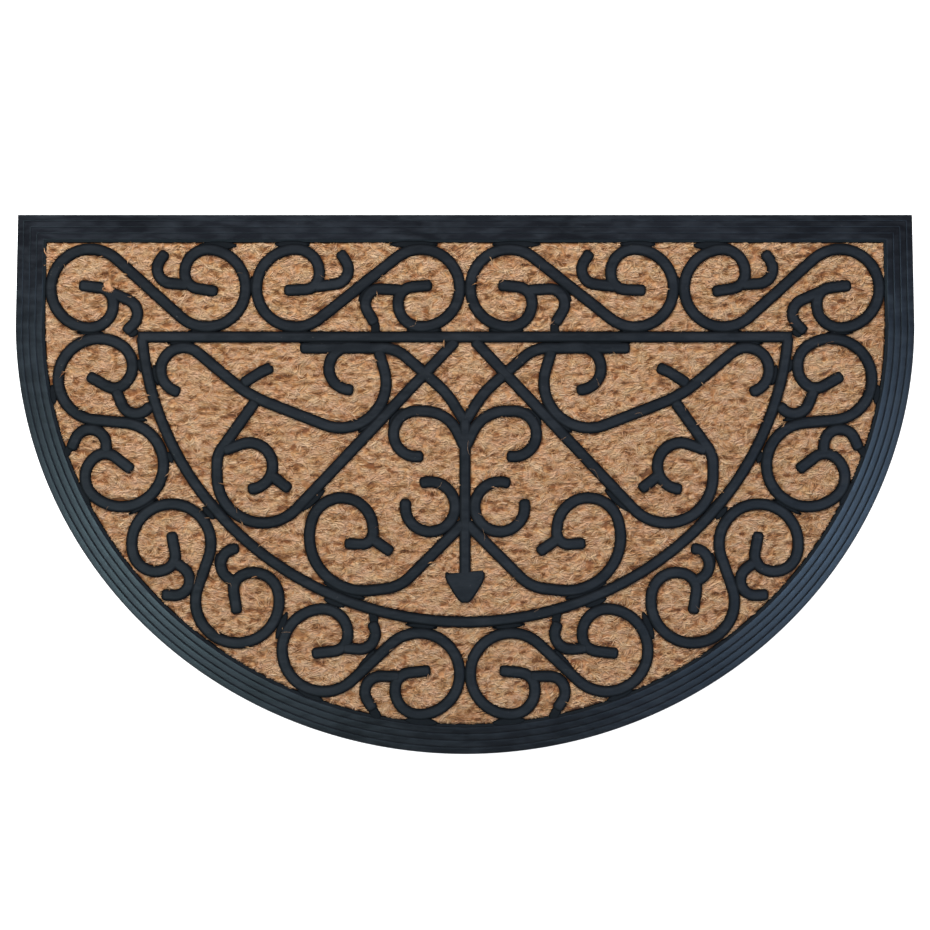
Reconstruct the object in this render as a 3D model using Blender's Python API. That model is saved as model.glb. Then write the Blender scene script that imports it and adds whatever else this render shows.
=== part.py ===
"""Half-round coir doormat: a moulded rubber mat with a woven coir panel held under raised scrollwork.

Metres, +Z up. The origin is the middle of the underside, +X runs along the straight edge and +Y points to it.
The left half of the scrollwork is laid out and mirrored about the plane x = 0.
"""

from collections import namedtuple
from math import acos, asin, atan2, ceil, cos, degrees, hypot, pi, radians, sin

import bmesh
import bpy

OBJECT_NAME = "half_round_doormat"

# Outline of the mat: a half ellipse under two short sides, closed by the straight edge
MAT_WIDTH = 0.750
MAT_DEPTH = 0.450
SHOULDER_Y = 0.133
CORNER_HALF_WIDTH = 0.373
BOW_STEPS = 56

# Heights
BASE_TOP = 0.0028
COIR_GAP = 0.0003
COIR_THICKNESS = 0.0046
RIB_UNDERSIDE = BASE_TOP + COIR_GAP + COIR_THICKNESS + COIR_GAP
RIB_TOP = 0.0100
WEB_TOP = 0.0094
RIM_EDGE_HEIGHT = 0.0030

# Rim: ridges that follow the outline and climb inwards, then a low lip over the panel's edge.
# The rim is a little narrower along the straight edge.
RIDGE_COUNT = 4
RIDGE_PITCH = 0.0058
RIDGE_RISE_SHARE = 0.12
RIDGE_CREST_SHARE = 0.85
RIDGE_HEIGHT = 0.0007
RIM_CLIMB_TO = 0.0095
LIP_TOP = 0.0088
LIP_SLOPE = 0.0006
LIP_WIDTH = 0.0015
PANEL_INSET = RIDGE_COUNT * RIDGE_PITCH + LIP_SLOPE + LIP_WIDTH
STRAIGHT_RIM_SHARE = 0.925

# Scrollwork
RIB_WIDTH = 0.0095
FRAME_WIDTH = 0.0092
SAGITTA = 0.0004
SHORTEST_STEP = 0.0005
FRAME_BAR_Y = 0.1229
FRAME_BAR_REACH = 0.2725
FRAME_BOW_Y = 0.143
FRAME_HALF_WIDTH = 0.2697
FRAME_BOW_DEPTH = 0.2575
FRAME_STEPS = 36
STEM_TOP = 0.0560
STEM_FOOT = -0.0770

# A wheel is one round stretch of a rib: centre, radius of its middle line, and turn (+1 left, -1 right).
# A wheel of no radius is a plain point.
Wheel = namedtuple("Wheel", "x y radius turn")

# One loop of an S-scroll. neck is the direction from the loop's centre to where tongue and curl part. The
# curl turns about a centre reach radii out, at the angle curl from the neck, and ends at the angle tip.
Loop = namedtuple("Loop", "x y radius neck curl tip reach")
Scroll = namedtuple("Scroll", "hand first second")

BORDER_SCROLLS = (
    Scroll(
        +1,
        Loop(-0.3120, 0.1632, 0.0328, -8, -30, -44, 1.04),
        Loop(-0.2150, 0.1636, 0.0324, 169, -18, -31, 1.02),
    ),
    Scroll(
        -1,
        Loop(-0.1412, 0.1636, 0.0324, 4, -22, -36, 1.09),
        Loop(-0.0368, 0.1636, 0.0324, 188, -13, -31, 1.12),
    ),
    Scroll(
        -1,
        Loop(-0.3048, 0.0875, 0.0340, -28, -1, -3, 1.02),
        Loop(-0.2860, 0.0165, 0.0350, 144, -4, -20, 0.88),
    ),
    Scroll(
        +1,
        Loop(-0.2445, -0.0492, 0.0330, -81, -4, -20, 0.93),
        Loop(-0.1896, -0.0972, 0.0348, 97, -6, -9, 0.88),
    ),
    Scroll(
        -1,
        Loop(-0.1178, -0.1380, 0.0345, 8, -17, -23, 0.96),
        Loop(-0.0384, -0.1576, 0.0340, 188, -17, -31, 1.04),
    ),
)

# How every loop winds in from its outer turn: shares of its radius, and angles from its neck
INNER_TURN = 0.60
TONGUE_TURN = 0.38
CURL_TURN = 0.38
NECK_REACH = 0.45
TONGUE_REACH = 0.30
INNER_TURN_FROM = -84
TONGUE_TURN_FROM = 20
TONGUE_TIP_AT = 172

# Ribs inside the frame: the angles at which the first wheel starts and the last one ends, where they are arcs
Rib = namedtuple("Rib", "name start end wheels")
FIELD_RIBS = (
    Rib(
        "upper_bowl",
        -98,
        None,
        (
            Wheel(-0.2345, 0.0953, 0.0188, -1),
            Wheel(-0.1280, 0.1612, 0.1000, +1),
            Wheel(-0.1035, 0.0850, 0.0378, +1),
            Wheel(-0.0725, 0.1130, 0, 0),
        ),
    ),
    Rib("bowl_hook", None, 278, (Wheel(-0.0760, 0.1137, 0, 0), Wheel(-0.0953, 0.0968, 0.0180, +1))),
    Rib(
        "twig",
        None,
        None,
        (Wheel(-0.1860, 0.0835, 0, 0), Wheel(-0.1695, 0.0940, 0, 0), Wheel(-0.1600, 0.0980, 0, 0)),
    ),
    Rib(
        "ogee",
        None,
        None,
        (
            Wheel(-0.1375, 0.1137, 0, 0),
            Wheel(-0.0690, 0.0837, 0.0300, -1),
            Wheel(-0.0700, 0.0300, 0.0710, -1),
            Wheel(0.0, 0.0520, 0, 0),
        ),
    ),
    Rib(
        "brace",
        None,
        None,
        (
            Wheel(-0.0070, 0.1205, 0, 0),
            Wheel(-0.1680, 0.0065, 0.0385, -1),
            Wheel(-0.1845, 0.0175, 0.0220, -1),
            Wheel(-0.1740, 0.0700, 0, 0),
        ),
    ),
    Rib("drop_hook", None, -94, (Wheel(-0.2020, 0.0280, 0, 0), Wheel(-0.1795, 0.0155, 0.0193, -1))),
    Rib("drop_spur", None, None, (Wheel(-0.1630, 0.0090, 0, 0), Wheel(-0.1455, -0.0046, 0, 0))),
    Rib(
        "upper_leaf",
        None,
        288,
        (Wheel(0.0, 0.0300, 0, 0), Wheel(-0.0335, 0.0310, 0.0300, +1), Wheel(-0.0405, 0.0422, 0.0190, +1)),
    ),
    Rib("lower_leaf", 115, 162, (Wheel(-0.0290, -0.0185, 0.0208, -1),)),
    Rib(
        "lower_bowl",
        None,
        None,
        (
            Wheel(0.0, -0.0310, 0, 0),
            Wheel(-0.0705, -0.0520, 0.0350, -1),
            Wheel(-0.0846, -0.0435, 0.0450, -1),
            Wheel(-0.1026, -0.0370, 0.0260, -1),
            Wheel(-0.0862, -0.0400, 0.0098, -1),
            Wheel(-0.1005, -0.0490, 0, 0),
        ),
    ),
    Rib("lower_spur", None, None, (Wheel(-0.0790, -0.0440, 0, 0), Wheel(-0.0605, -0.0570, 0, 0))),
)

# Low webs that tie ribs to their neighbours and to the rim: middle, length, width, and direction in degrees
Web = namedtuple("Web", "x y length width angle")
WEBS = (
    # Top row, from the rim's corner inwards
    Web(-0.2057, 0.1990, 0.0310, 0.0070, 0),
    Web(-0.1438, 0.2000, 0.0290, 0.0060, 0),
    Web(-0.0428, 0.2000, 0.0400, 0.0060, 0),
    Web(-0.2170, 0.1275, 0.0270, 0.0040, 0),
    Web(-0.1401, 0.1278, 0.0230, 0.0040, 0),
    Web(-0.0340, 0.1288, 0.0290, 0.0056, 0),
    Web(-0.0746, 0.1300, 0.0070, 0.0070, 90),
    Web(-0.1775, 0.1660, 0.0150, 0.0036, 90),
    Web(-0.0838, 0.1591, 0.0160, 0.0050, 55),
    Web(-0.3120, 0.1263, 0.0220, 0.0034, 0),
    Web(-0.2762, 0.1262, 0.0090, 0.0060, 30),
    # Down the side, between the rim and the frame
    Web(-0.2705, 0.0990, 0.0110, 0.0050, -80),
    Web(-0.3428, 0.0750, 0.0160, 0.0056, -83),
    Web(-0.2620, 0.0660, 0.0080, 0.0056, 10),
    Web(-0.2743, 0.0555, 0.0200, 0.0044, -12),
    Web(-0.3070, 0.0473, 0.0100, 0.0050, 0),
    Web(-0.3312, 0.0275, 0.0080, 0.0070, 60),
    Web(-0.3180, -0.0074, 0.0230, 0.0060, -60),
    Web(-0.2455, 0.0225, 0.0100, 0.0050, -68),
    Web(-0.2681, -0.0185, 0.0270, 0.0040, 28),
    Web(-0.2136, -0.0237, 0.0140, 0.0054, -47),
    Web(-0.2265, -0.0823, 0.0130, 0.0034, 80),
    Web(-0.2065, -0.0636, 0.0130, 0.0040, 85),
    Web(-0.2122, -0.1345, 0.0200, 0.0060, -37),
    Web(-0.1526, -0.1174, 0.0240, 0.0060, 68),
    # Along the bow, to the middle
    Web(-0.1090, -0.0983, 0.0185, 0.0056, -21),
    Web(-0.1289, -0.1755, 0.0230, 0.0060, -24),
    Web(-0.0762, -0.1105, 0.0080, 0.0070, 100),
    Web(-0.0363, -0.1178, 0.0270, 0.0044, -6),
    Web(-0.0820, -0.1460, 0.0240, 0.0050, 48),
    Web(-0.0750, -0.1905, 0.0090, 0.0080, -60),
    Web(-0.0363, -0.1974, 0.0270, 0.0070, -6),
    # Inside the frame
    Web(-0.2368, 0.1178, 0.0220, 0.0036, 0),
    Web(-0.2575, 0.0913, 0.0170, 0.0050, -78),
    Web(-0.1060, 0.1183, 0.0640, 0.0040, 0),
    Web(-0.0764, 0.0549, 0.0340, 0.0056, 43),
    Web(-0.0538, 0.0597, 0.0300, 0.0066, 43),
    Web(-0.1950, 0.0330, 0.0130, 0.0050, 62),
    Web(-0.2095, -0.0155, 0.0440, 0.0056, -48),
    Web(-0.1263, -0.0132, 0.0260, 0.0056, 43),
    Web(-0.1007, -0.0884, 0.0370, 0.0060, -22),
)

# Half widths of the spear point at the stem's foot, from its shoulders down to its tip
Station = namedtuple("Station", "y half_width")
SPEAR_POINT = (
    Station(-0.0752, 0.0070),
    Station(-0.0748, 0.0115),
    Station(-0.0728, 0.0150),
    Station(-0.0735, 0.0165),
    Station(-0.0775, 0.0165),
    Station(-0.0815, 0.0150),
    Station(-0.0870, 0.0118),
    Station(-0.0930, 0.0080),
    Station(-0.0968, 0.0050),
    Station(-0.0986, 0.0028),
)


def clear_scene():
    for old in list(bpy.data.objects):
        bpy.data.objects.remove(old, do_unlink=True)


def make_collection(name):
    collection = bpy.data.collections.new(name)
    bpy.context.scene.collection.children.link(collection)
    return collection


def make_material(name, colour, roughness):
    material = bpy.data.materials.new(name)
    material.use_nodes = True
    shader = material.node_tree.nodes["Principled BSDF"]
    shader.inputs["Base Color"].default_value = (*colour, 1.0)
    shader.inputs["Roughness"].default_value = roughness
    shader.inputs["Metallic"].default_value = 0.0
    return material


def direction(angle):
    return cos(radians(angle)), sin(radians(angle))


def wheel_arc(wheel, start, end):
    """Points on a wheel from the start angle to the end angle, the way the rib turns."""
    sweep = ((end - start) * wheel.turn) % 360
    if sweep > 359:
        sweep = 0
    step = 2 * degrees(acos(1 - SAGITTA / wheel.radius))
    count = max(1, ceil(sweep / step))
    for k in range(count + 1):
        dx, dy = direction(start + wheel.turn * sweep * k / count)
        yield wheel.x + wheel.radius * dx, wheel.y + wheel.radius * dy


def rib_line(wheels, start=None, end=None):
    """Middle line of a rib that runs round its wheels as a belt does, and straight between them."""
    arrive = [start] * len(wheels)
    leave = [end] * len(wheels)
    for i, (here, ahead) in enumerate(zip(wheels, wheels[1:])):
        dx, dy = ahead.x - here.x, ahead.y - here.y
        lean = (ahead.radius * ahead.turn - here.radius * here.turn) / hypot(dx, dy)
        heading = degrees(atan2(dy, dx) - asin(max(-1.0, min(1.0, lean))))
        leave[i] = heading - 90 * here.turn
        arrive[i + 1] = heading - 90 * ahead.turn
    points = []
    for wheel, angle_in, angle_out in zip(wheels, arrive, leave):
        if wheel.radius:
            points += wheel_arc(wheel, angle_in, angle_out)
        else:
            points.append((wheel.x, wheel.y))
    line = points[:1]
    for point in points[1:]:
        if hypot(point[0] - line[-1][0], point[1] - line[-1][1]) > SHORTEST_STEP:
            line.append(point)
    return line


def at_neck_angle(loop, hand, reach, angle):
    """A place given by its share of the loop's radius and its angle from the neck."""
    dx, dy = direction(loop.neck + hand * angle)
    return loop.x + reach * loop.radius * dx, loop.y + reach * loop.radius * dy


def tongue_wheels(loop, hand):
    """Wheels from a loop's outer turn, winding in to the tip of its tongue."""
    inner = loop._replace(**dict(zip("xy", at_neck_angle(loop, hand, 1 - INNER_TURN, INNER_TURN_FROM))))
    tongue = at_neck_angle(inner, hand, INNER_TURN - TONGUE_TURN, TONGUE_TURN_FROM)
    tip = at_neck_angle(loop, hand, TONGUE_REACH, TONGUE_TIP_AT)
    return [
        Wheel(loop.x, loop.y, loop.radius, hand),
        Wheel(inner.x, inner.y, INNER_TURN * loop.radius, hand),
        Wheel(*tongue, TONGUE_TURN * loop.radius, hand),
        Wheel(*tip, 0, 0),
    ]


def curl_wheels(loop, hand):
    """Wheels of the short curl that leaves a loop's neck the other way."""
    return [
        Wheel(*at_neck_angle(loop, hand, NECK_REACH, 0), 0, 0),
        Wheel(*at_neck_angle(loop, hand, loop.reach, loop.curl), CURL_TURN * loop.radius, -hand),
        Wheel(*at_neck_angle(loop, hand, loop.reach + CURL_TURN, loop.tip), 0, 0),
    ]


def scroll_lines(scroll):
    """The S of two loops, and the curl at each end of it."""
    back = [wheel._replace(turn=-wheel.turn) for wheel in reversed(tongue_wheels(scroll.first, scroll.hand))]
    yield rib_line(back + tongue_wheels(scroll.second, scroll.hand))
    yield rib_line(curl_wheels(scroll.first, scroll.hand))
    yield rib_line(curl_wheels(scroll.second, scroll.hand))


def bow_line(half_width, depth, centre_y, first, last, steps):
    """Points of a lower half ellipse between two angles in radians, left to right."""
    for k in range(steps + 1):
        angle = first + (last - first) * k / steps
        yield half_width * cos(angle), centre_y + depth * sin(angle)


def frame_bow():
    """Middle line of the frame's bow, which starts and ends in the middle of the frame's bar."""
    start = asin((FRAME_BOW_Y - FRAME_BAR_Y) / FRAME_BOW_DEPTH)
    return list(
        bow_line(FRAME_HALF_WIDTH, FRAME_BOW_DEPTH, FRAME_BOW_Y, pi + start, 2 * pi - start, FRAME_STEPS)
    )


def mat_outline():
    """The mat's outer edge, counterclockwise from the left shoulder."""
    points = list(bow_line(MAT_WIDTH / 2, SHOULDER_Y + MAT_DEPTH / 2, SHOULDER_Y, pi, 2 * pi, BOW_STEPS))
    points.append((CORNER_HALF_WIDTH, MAT_DEPTH / 2))
    points.append((-CORNER_HALF_WIDTH, MAT_DEPTH / 2))
    return points


def rib_outline(line, width):
    """Outline of a rib of even width along its middle line, with mitred bends and square ends."""
    left, right = [], []
    for i, (x, y) in enumerate(line):
        before = line[max(i - 1, 0)]
        after = line[min(i + 1, len(line) - 1)]
        heading_in = atan2(y - before[1], x - before[0]) if i else atan2(after[1] - y, after[0] - x)
        heading_out = atan2(after[1] - y, after[0] - x) if after != (x, y) else heading_in
        half_bend = ((heading_out - heading_in + pi) % (2 * pi) - pi) / 2
        reach = width / 2 / cos(half_bend)
        nx = -sin(heading_in + half_bend) * reach
        ny = cos(heading_in + half_bend) * reach
        left.append((x + nx, y + ny))
        right.append((x - nx, y - ny))
    return right + left[::-1]


def plate_from_outline(name, outline, bottom, top, collection):
    """A flat plate between two heights, filled inside one outline."""
    curve = bpy.data.curves.new(name + "_outline", "CURVE")
    curve.dimensions = "2D"
    curve.fill_mode = "BOTH"
    curve.extrude = (top - bottom) / 2
    spline = curve.splines.new("POLY")
    spline.points.add(len(outline) - 1)
    for point, (x, y) in zip(spline.points, outline):
        point.co = (x, y, 0.0, 1.0)
    spline.use_cyclic_u = True
    sketch = bpy.data.objects.new(name + "_sketch", curve)
    sketch.location.z = (top + bottom) / 2
    collection.objects.link(sketch)
    bpy.context.view_layer.update()
    mesh = bpy.data.meshes.new_from_object(sketch.evaluated_get(bpy.context.evaluated_depsgraph_get()))
    mesh.transform(sketch.matrix_world)
    bpy.data.objects.remove(sketch, do_unlink=True)
    weld_mesh(mesh)
    plate = bpy.data.objects.new(name, mesh)
    collection.objects.link(plate)
    return plate


def weld_mesh(mesh):
    """Join the loose caps of a filled curve to its walls, with all faces pointing out."""
    work = bmesh.new()
    work.from_mesh(mesh)
    bmesh.ops.remove_doubles(work, verts=work.verts, dist=0.00001)
    bmesh.ops.dissolve_limit(work, angle_limit=radians(0.1), verts=work.verts, edges=work.edges)
    bmesh.ops.recalc_face_normals(work, faces=work.faces)
    work.to_mesh(mesh)
    work.free()


def as_cutter(item):
    item.hide_render = True
    item.display_type = "WIRE"


def web_outline(web):
    """A rectangle turned about its middle."""
    dx, dy = direction(web.angle)
    half = web.length / 2
    ends = [(web.x - half * dx, web.y - half * dy), (web.x + half * dx, web.y + half * dy)]
    return rib_outline(ends, web.width)


def left_outlines():
    """Name, outline and top of every plate that is mirrored."""
    for number, scroll in enumerate(BORDER_SCROLLS):
        for piece, line in zip(("loops", "first_curl", "second_curl"), scroll_lines(scroll)):
            yield f"scroll_{number}_{piece}", rib_outline(line, RIB_WIDTH), RIB_TOP
    for rib in FIELD_RIBS:
        yield rib.name, rib_outline(rib_line(rib.wheels, rib.start, rib.end), RIB_WIDTH), RIB_TOP
    for number, web in enumerate(WEBS):
        yield f"web_{number}", web_outline(web), WEB_TOP


def middle_outlines():
    """Name, outline and top of every plate that lies across the mirror plane."""
    bar = [(-FRAME_BAR_REACH, FRAME_BAR_Y), (FRAME_BAR_REACH, FRAME_BAR_Y)]
    yield "frame_bar", rib_outline(bar, FRAME_WIDTH), RIB_TOP
    yield "frame_bow", rib_outline(frame_bow(), FRAME_WIDTH), RIB_TOP
    yield "stem", rib_outline([(0.0, STEM_TOP), (0.0, STEM_FOOT)], RIB_WIDTH), RIB_TOP
    spear = [(station.half_width, station.y) for station in SPEAR_POINT]
    yield "spear_point", [(-x, y) for x, y in spear] + spear[::-1], RIB_TOP


def make_ribs(cutters):
    """Every rib and web as a plate of its own, the left ones also mirrored to the right."""
    for name, outline, top in left_outlines():
        plate_from_outline(name + "_left", outline, RIB_UNDERSIDE, top, cutters)
        mirrored = [(-x, y) for x, y in reversed(outline)]
        plate_from_outline(name + "_right", mirrored, RIB_UNDERSIDE, top, cutters)
    for name, outline, top in middle_outlines():
        plate_from_outline(name, outline, RIB_UNDERSIDE, top, cutters)
    for item in cutters.objects:
        as_cutter(item)


def rim_profile():
    """Steps of the rim from its outer edge inwards: how far each goes in, and the height that it reaches."""
    climb = (RIM_CLIMB_TO - RIM_EDGE_HEIGHT) / RIDGE_COUNT
    crest = RIDGE_CREST_SHARE - RIDGE_RISE_SHARE
    for number in range(RIDGE_COUNT):
        valley = RIM_EDGE_HEIGHT + climb * number
        yield RIDGE_PITCH * RIDGE_RISE_SHARE, valley + climb * RIDGE_RISE_SHARE + RIDGE_HEIGHT
        yield RIDGE_PITCH * crest, valley + climb * RIDGE_CREST_SHARE + RIDGE_HEIGHT
        yield RIDGE_PITCH * (1 - RIDGE_CREST_SHARE), valley + climb
    yield LIP_SLOPE, LIP_TOP
    yield LIP_WIDTH, LIP_TOP


def mat_outline_face(work, height):
    """The mat's outline as one face at a height."""
    face = work.faces.new([work.verts.new((x, y, height)) for x, y in mat_outline()])
    work.normal_update()
    return face


def narrow_straight_rim(work):
    """Moves the corners by the straight edge out, so that what lies inside them grows towards that edge."""
    for vert in work.verts:
        if vert.co.y > MAT_DEPTH / 2 - 1.1 * PANEL_INSET:
            vert.co.y = MAT_DEPTH / 2 - (MAT_DEPTH / 2 - vert.co.y) * STRAIGHT_RIM_SHARE


def raise_face(work, face, rise):
    """Walls from a face's edges to a copy of it that lies higher. Returns the copy, and keeps the face."""
    new = bmesh.ops.extrude_face_region(work, geom=[face], use_keep_orig=True)["geom"]
    upper = [item for item in new if isinstance(item, bmesh.types.BMVert)]
    bmesh.ops.translate(work, vec=(0.0, 0.0, rise), verts=upper)
    return next(item for item in new if isinstance(item, bmesh.types.BMFace))


def make_tray(collection):
    """The moulding's base with its ridged rim and the recess that holds the coir panel."""
    work = bmesh.new()
    top = raise_face(work, mat_outline_face(work, 0.0), RIM_EDGE_HEIGHT)
    height = RIM_EDGE_HEIGHT
    for inwards, level in rim_profile():
        bmesh.ops.inset_region(work, faces=[top], thickness=inwards, use_even_offset=True)
        bmesh.ops.translate(work, vec=(0.0, 0.0, level - height), verts=top.verts)
        height = level
    raise_face(work, top, BASE_TOP - height)
    bmesh.ops.delete(work, geom=[top], context="FACES_ONLY")
    narrow_straight_rim(work)
    bmesh.ops.recalc_face_normals(work, faces=work.faces)
    mesh = bpy.data.meshes.new("rubber_mat")
    work.to_mesh(mesh)
    work.free()
    tray = bpy.data.objects.new("rubber_mat", mesh)
    collection.objects.link(tray)
    return tray


def make_rubber_mat(collection, cutters):
    """One moulding: the tray with all ribs joined to it."""
    tray = make_tray(collection)
    make_ribs(cutters)
    union = tray.modifiers.new("join_ribs", "BOOLEAN")
    union.operation = "UNION"
    union.operand_type = "COLLECTION"
    union.collection = cutters
    union.solver = "EXACT"
    tidy = tray.modifiers.new("merge_flat_faces", "DECIMATE")
    tidy.decimate_type = "DISSOLVE"
    tidy.angle_limit = radians(0.1)
    tray.data.materials.append(make_material("black_rubber", (0.017, 0.021, 0.031), 0.55))
    return tray


def make_coir_panel(collection):
    """The woven panel: the mat's outline, moved in to lie just inside the recess."""
    work = bmesh.new()
    face = mat_outline_face(work, BASE_TOP + COIR_GAP)
    edge = PANEL_INSET + COIR_GAP
    ring = bmesh.ops.inset_region(work, faces=[face], thickness=edge, use_even_offset=True, use_boundary=True)
    bmesh.ops.delete(work, geom=ring["faces"], context="FACES")
    raise_face(work, face, COIR_THICKNESS)
    narrow_straight_rim(work)
    bmesh.ops.recalc_face_normals(work, faces=work.faces)
    mesh = bpy.data.meshes.new("coir_matting")
    work.to_mesh(mesh)
    work.free()
    mesh.materials.append(make_material("coir", (0.47, 0.28, 0.15), 0.9))
    panel = bpy.data.objects.new("coir_matting", mesh)
    collection.objects.link(panel)
    return panel


def main():
    clear_scene()
    parts = make_collection(OBJECT_NAME)
    cutters = make_collection(OBJECT_NAME + "_cutters")
    make_rubber_mat(parts, cutters)
    make_coir_panel(parts)


main()
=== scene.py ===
"""Looks of the half-round coir doormat: moulded rubber with a ridged rim and scrollwork over matted coir."""

from collections import namedtuple
from math import acos, asin, atan2, ceil, cos, degrees, exp, hypot, pi, radians, sin

import bmesh
import bpy
import numpy as np
from bmesh.types import BMEdge, BMFace, BMVert
from mathutils import Matrix, Vector, noise


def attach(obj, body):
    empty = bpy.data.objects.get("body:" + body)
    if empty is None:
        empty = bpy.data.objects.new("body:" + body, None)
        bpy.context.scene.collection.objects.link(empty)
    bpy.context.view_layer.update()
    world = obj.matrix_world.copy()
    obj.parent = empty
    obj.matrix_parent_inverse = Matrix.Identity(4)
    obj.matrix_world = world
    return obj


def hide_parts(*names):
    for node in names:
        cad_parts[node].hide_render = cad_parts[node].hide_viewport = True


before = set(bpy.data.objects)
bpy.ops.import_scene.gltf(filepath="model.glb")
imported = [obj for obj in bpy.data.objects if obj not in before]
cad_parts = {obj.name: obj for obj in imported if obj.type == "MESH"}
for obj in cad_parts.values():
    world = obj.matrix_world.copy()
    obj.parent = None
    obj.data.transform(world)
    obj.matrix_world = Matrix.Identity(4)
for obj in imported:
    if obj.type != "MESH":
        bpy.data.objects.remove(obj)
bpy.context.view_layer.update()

# Outline of the mat, as in the solids
MAT_WIDTH = 0.750
MAT_DEPTH = 0.450
SHOULDER_Y = 0.133
CORNER_HALF_WIDTH = 0.373
BOW_STEPS = 220

# Heights
BASE_TOP = 0.0028
COIR_UNDERSIDE = 0.0031
COIR_FACE = 0.0074
RIB_FOOT = 0.0052
RIB_TOP = 0.0100
WEB_TOP = 0.0093
RIM_EDGE_HEIGHT = 0.0030
MOULD_EDGE = 0.0004

# Rim
RIDGE_COUNT = 4
RIDGE_PITCH = 0.0058
RIDGE_HEIGHT = 0.0007
RIDGE_MEAN = 0.3
# Share of crest light and wear left in a groove; the rest paints the groove darker as shade
GROOVE_LIGHT_AND_WEAR = 0.45
RIM_CLIMB_TO = 0.0095
LIP_TOP = 0.0088
LIP_SLOPE = 0.0006
LIP_WIDTH = 0.0015
PANEL_INSET = RIDGE_COUNT * RIDGE_PITCH + LIP_SLOPE + LIP_WIDTH
STRAIGHT_RIM_SHARE = 0.925
STRAIGHT_RIM_ZONE = 1.1 * PANEL_INSET
PANEL_TOP_Y = MAT_DEPTH / 2 - PANEL_INSET * STRAIGHT_RIM_SHARE
PANEL_GAP = 0.0003

# Scrollwork
RIB_WIDTH = 0.0095
RIB_ROUND = 0.0015
RIB_TIP_ROUND = 0.0034
TIP_STEPS = 3
ROLL_SEGMENTS = 4
# Share of crest light and wear on a rib's rolled edges and on webs: the rubber paints lower shares darker,
# as shade on the flanks and in the joints
EDGE_LIGHT_AND_WEAR = 0.35
WEB_ROUND = 0.0008
WEB_LIGHT_AND_WEAR = 0.35
SPEAR_ROUND = 0.0013
RIB_CROWN = 0.00014
CROWN_INSET = 0.7
LEVEL_NORMAL = 0.999
LEVEL_SLACK = 0.0001
STACK_STEP = 0.000012
STACK_LEVELS = 13
FRAME_WIDTH = 0.0092
SAGITTA = 0.00007
SHORTEST_STEP = 0.0005
FRAME_BAR_Y = 0.1229
FRAME_BAR_REACH = 0.2725
FRAME_BOW_Y = 0.143
FRAME_HALF_WIDTH = 0.2697
FRAME_BOW_DEPTH = 0.2575
FRAME_STEPS = 110
STEM_TOP = 0.0560
STEM_FOOT = -0.0770

# A wheel is one round stretch of a rib: its centre, the radius of the rib's middle line, and its turn, +1 to
# the left or -1 to the right. A wheel of no radius is a plain point.
Wheel = namedtuple("Wheel", "x y radius turn", defaults=(0, 0))

# One loop of an S-scroll. Its neck is the direction from its centre to where tongue and curl part. The curl
# turns about a centre reach radii out, at the angle curl from the neck, and ends at the angle tip.
Loop = namedtuple("Loop", "x y radius neck curl tip reach")
Scroll = namedtuple("Scroll", "hand first second")

BORDER_SCROLLS = (
    Scroll(
        +1,
        Loop(-0.3120, 0.1632, 0.0328, -8, -30, -44, 1.04),
        Loop(-0.2150, 0.1636, 0.0324, 169, -18, -31, 1.02),
    ),
    Scroll(
        -1,
        Loop(-0.1412, 0.1636, 0.0324, 4, -22, -36, 1.09),
        Loop(-0.0368, 0.1636, 0.0324, 188, -13, -31, 1.12),
    ),
    Scroll(
        -1,
        Loop(-0.3048, 0.0875, 0.0340, -28, -1, -3, 1.02),
        Loop(-0.2860, 0.0165, 0.0350, 144, -4, -20, 0.88),
    ),
    Scroll(
        +1,
        Loop(-0.2445, -0.0492, 0.0330, -81, -4, -20, 0.93),
        Loop(-0.1896, -0.0972, 0.0348, 97, -6, -9, 0.88),
    ),
    Scroll(
        -1,
        Loop(-0.1178, -0.1380, 0.0345, 8, -17, -23, 0.96),
        Loop(-0.0384, -0.1576, 0.0340, 188, -17, -31, 1.04),
    ),
)

# How every loop winds in from its outer turn: shares of its radius, and angles from its neck
INNER_TURN = 0.60
TONGUE_TURN = 0.38
CURL_TURN = 0.38
NECK_REACH = 0.45
TONGUE_REACH = 0.30
INNER_TURN_FROM = -84
TONGUE_TURN_FROM = 20
TONGUE_TIP_AT = 172

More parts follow.
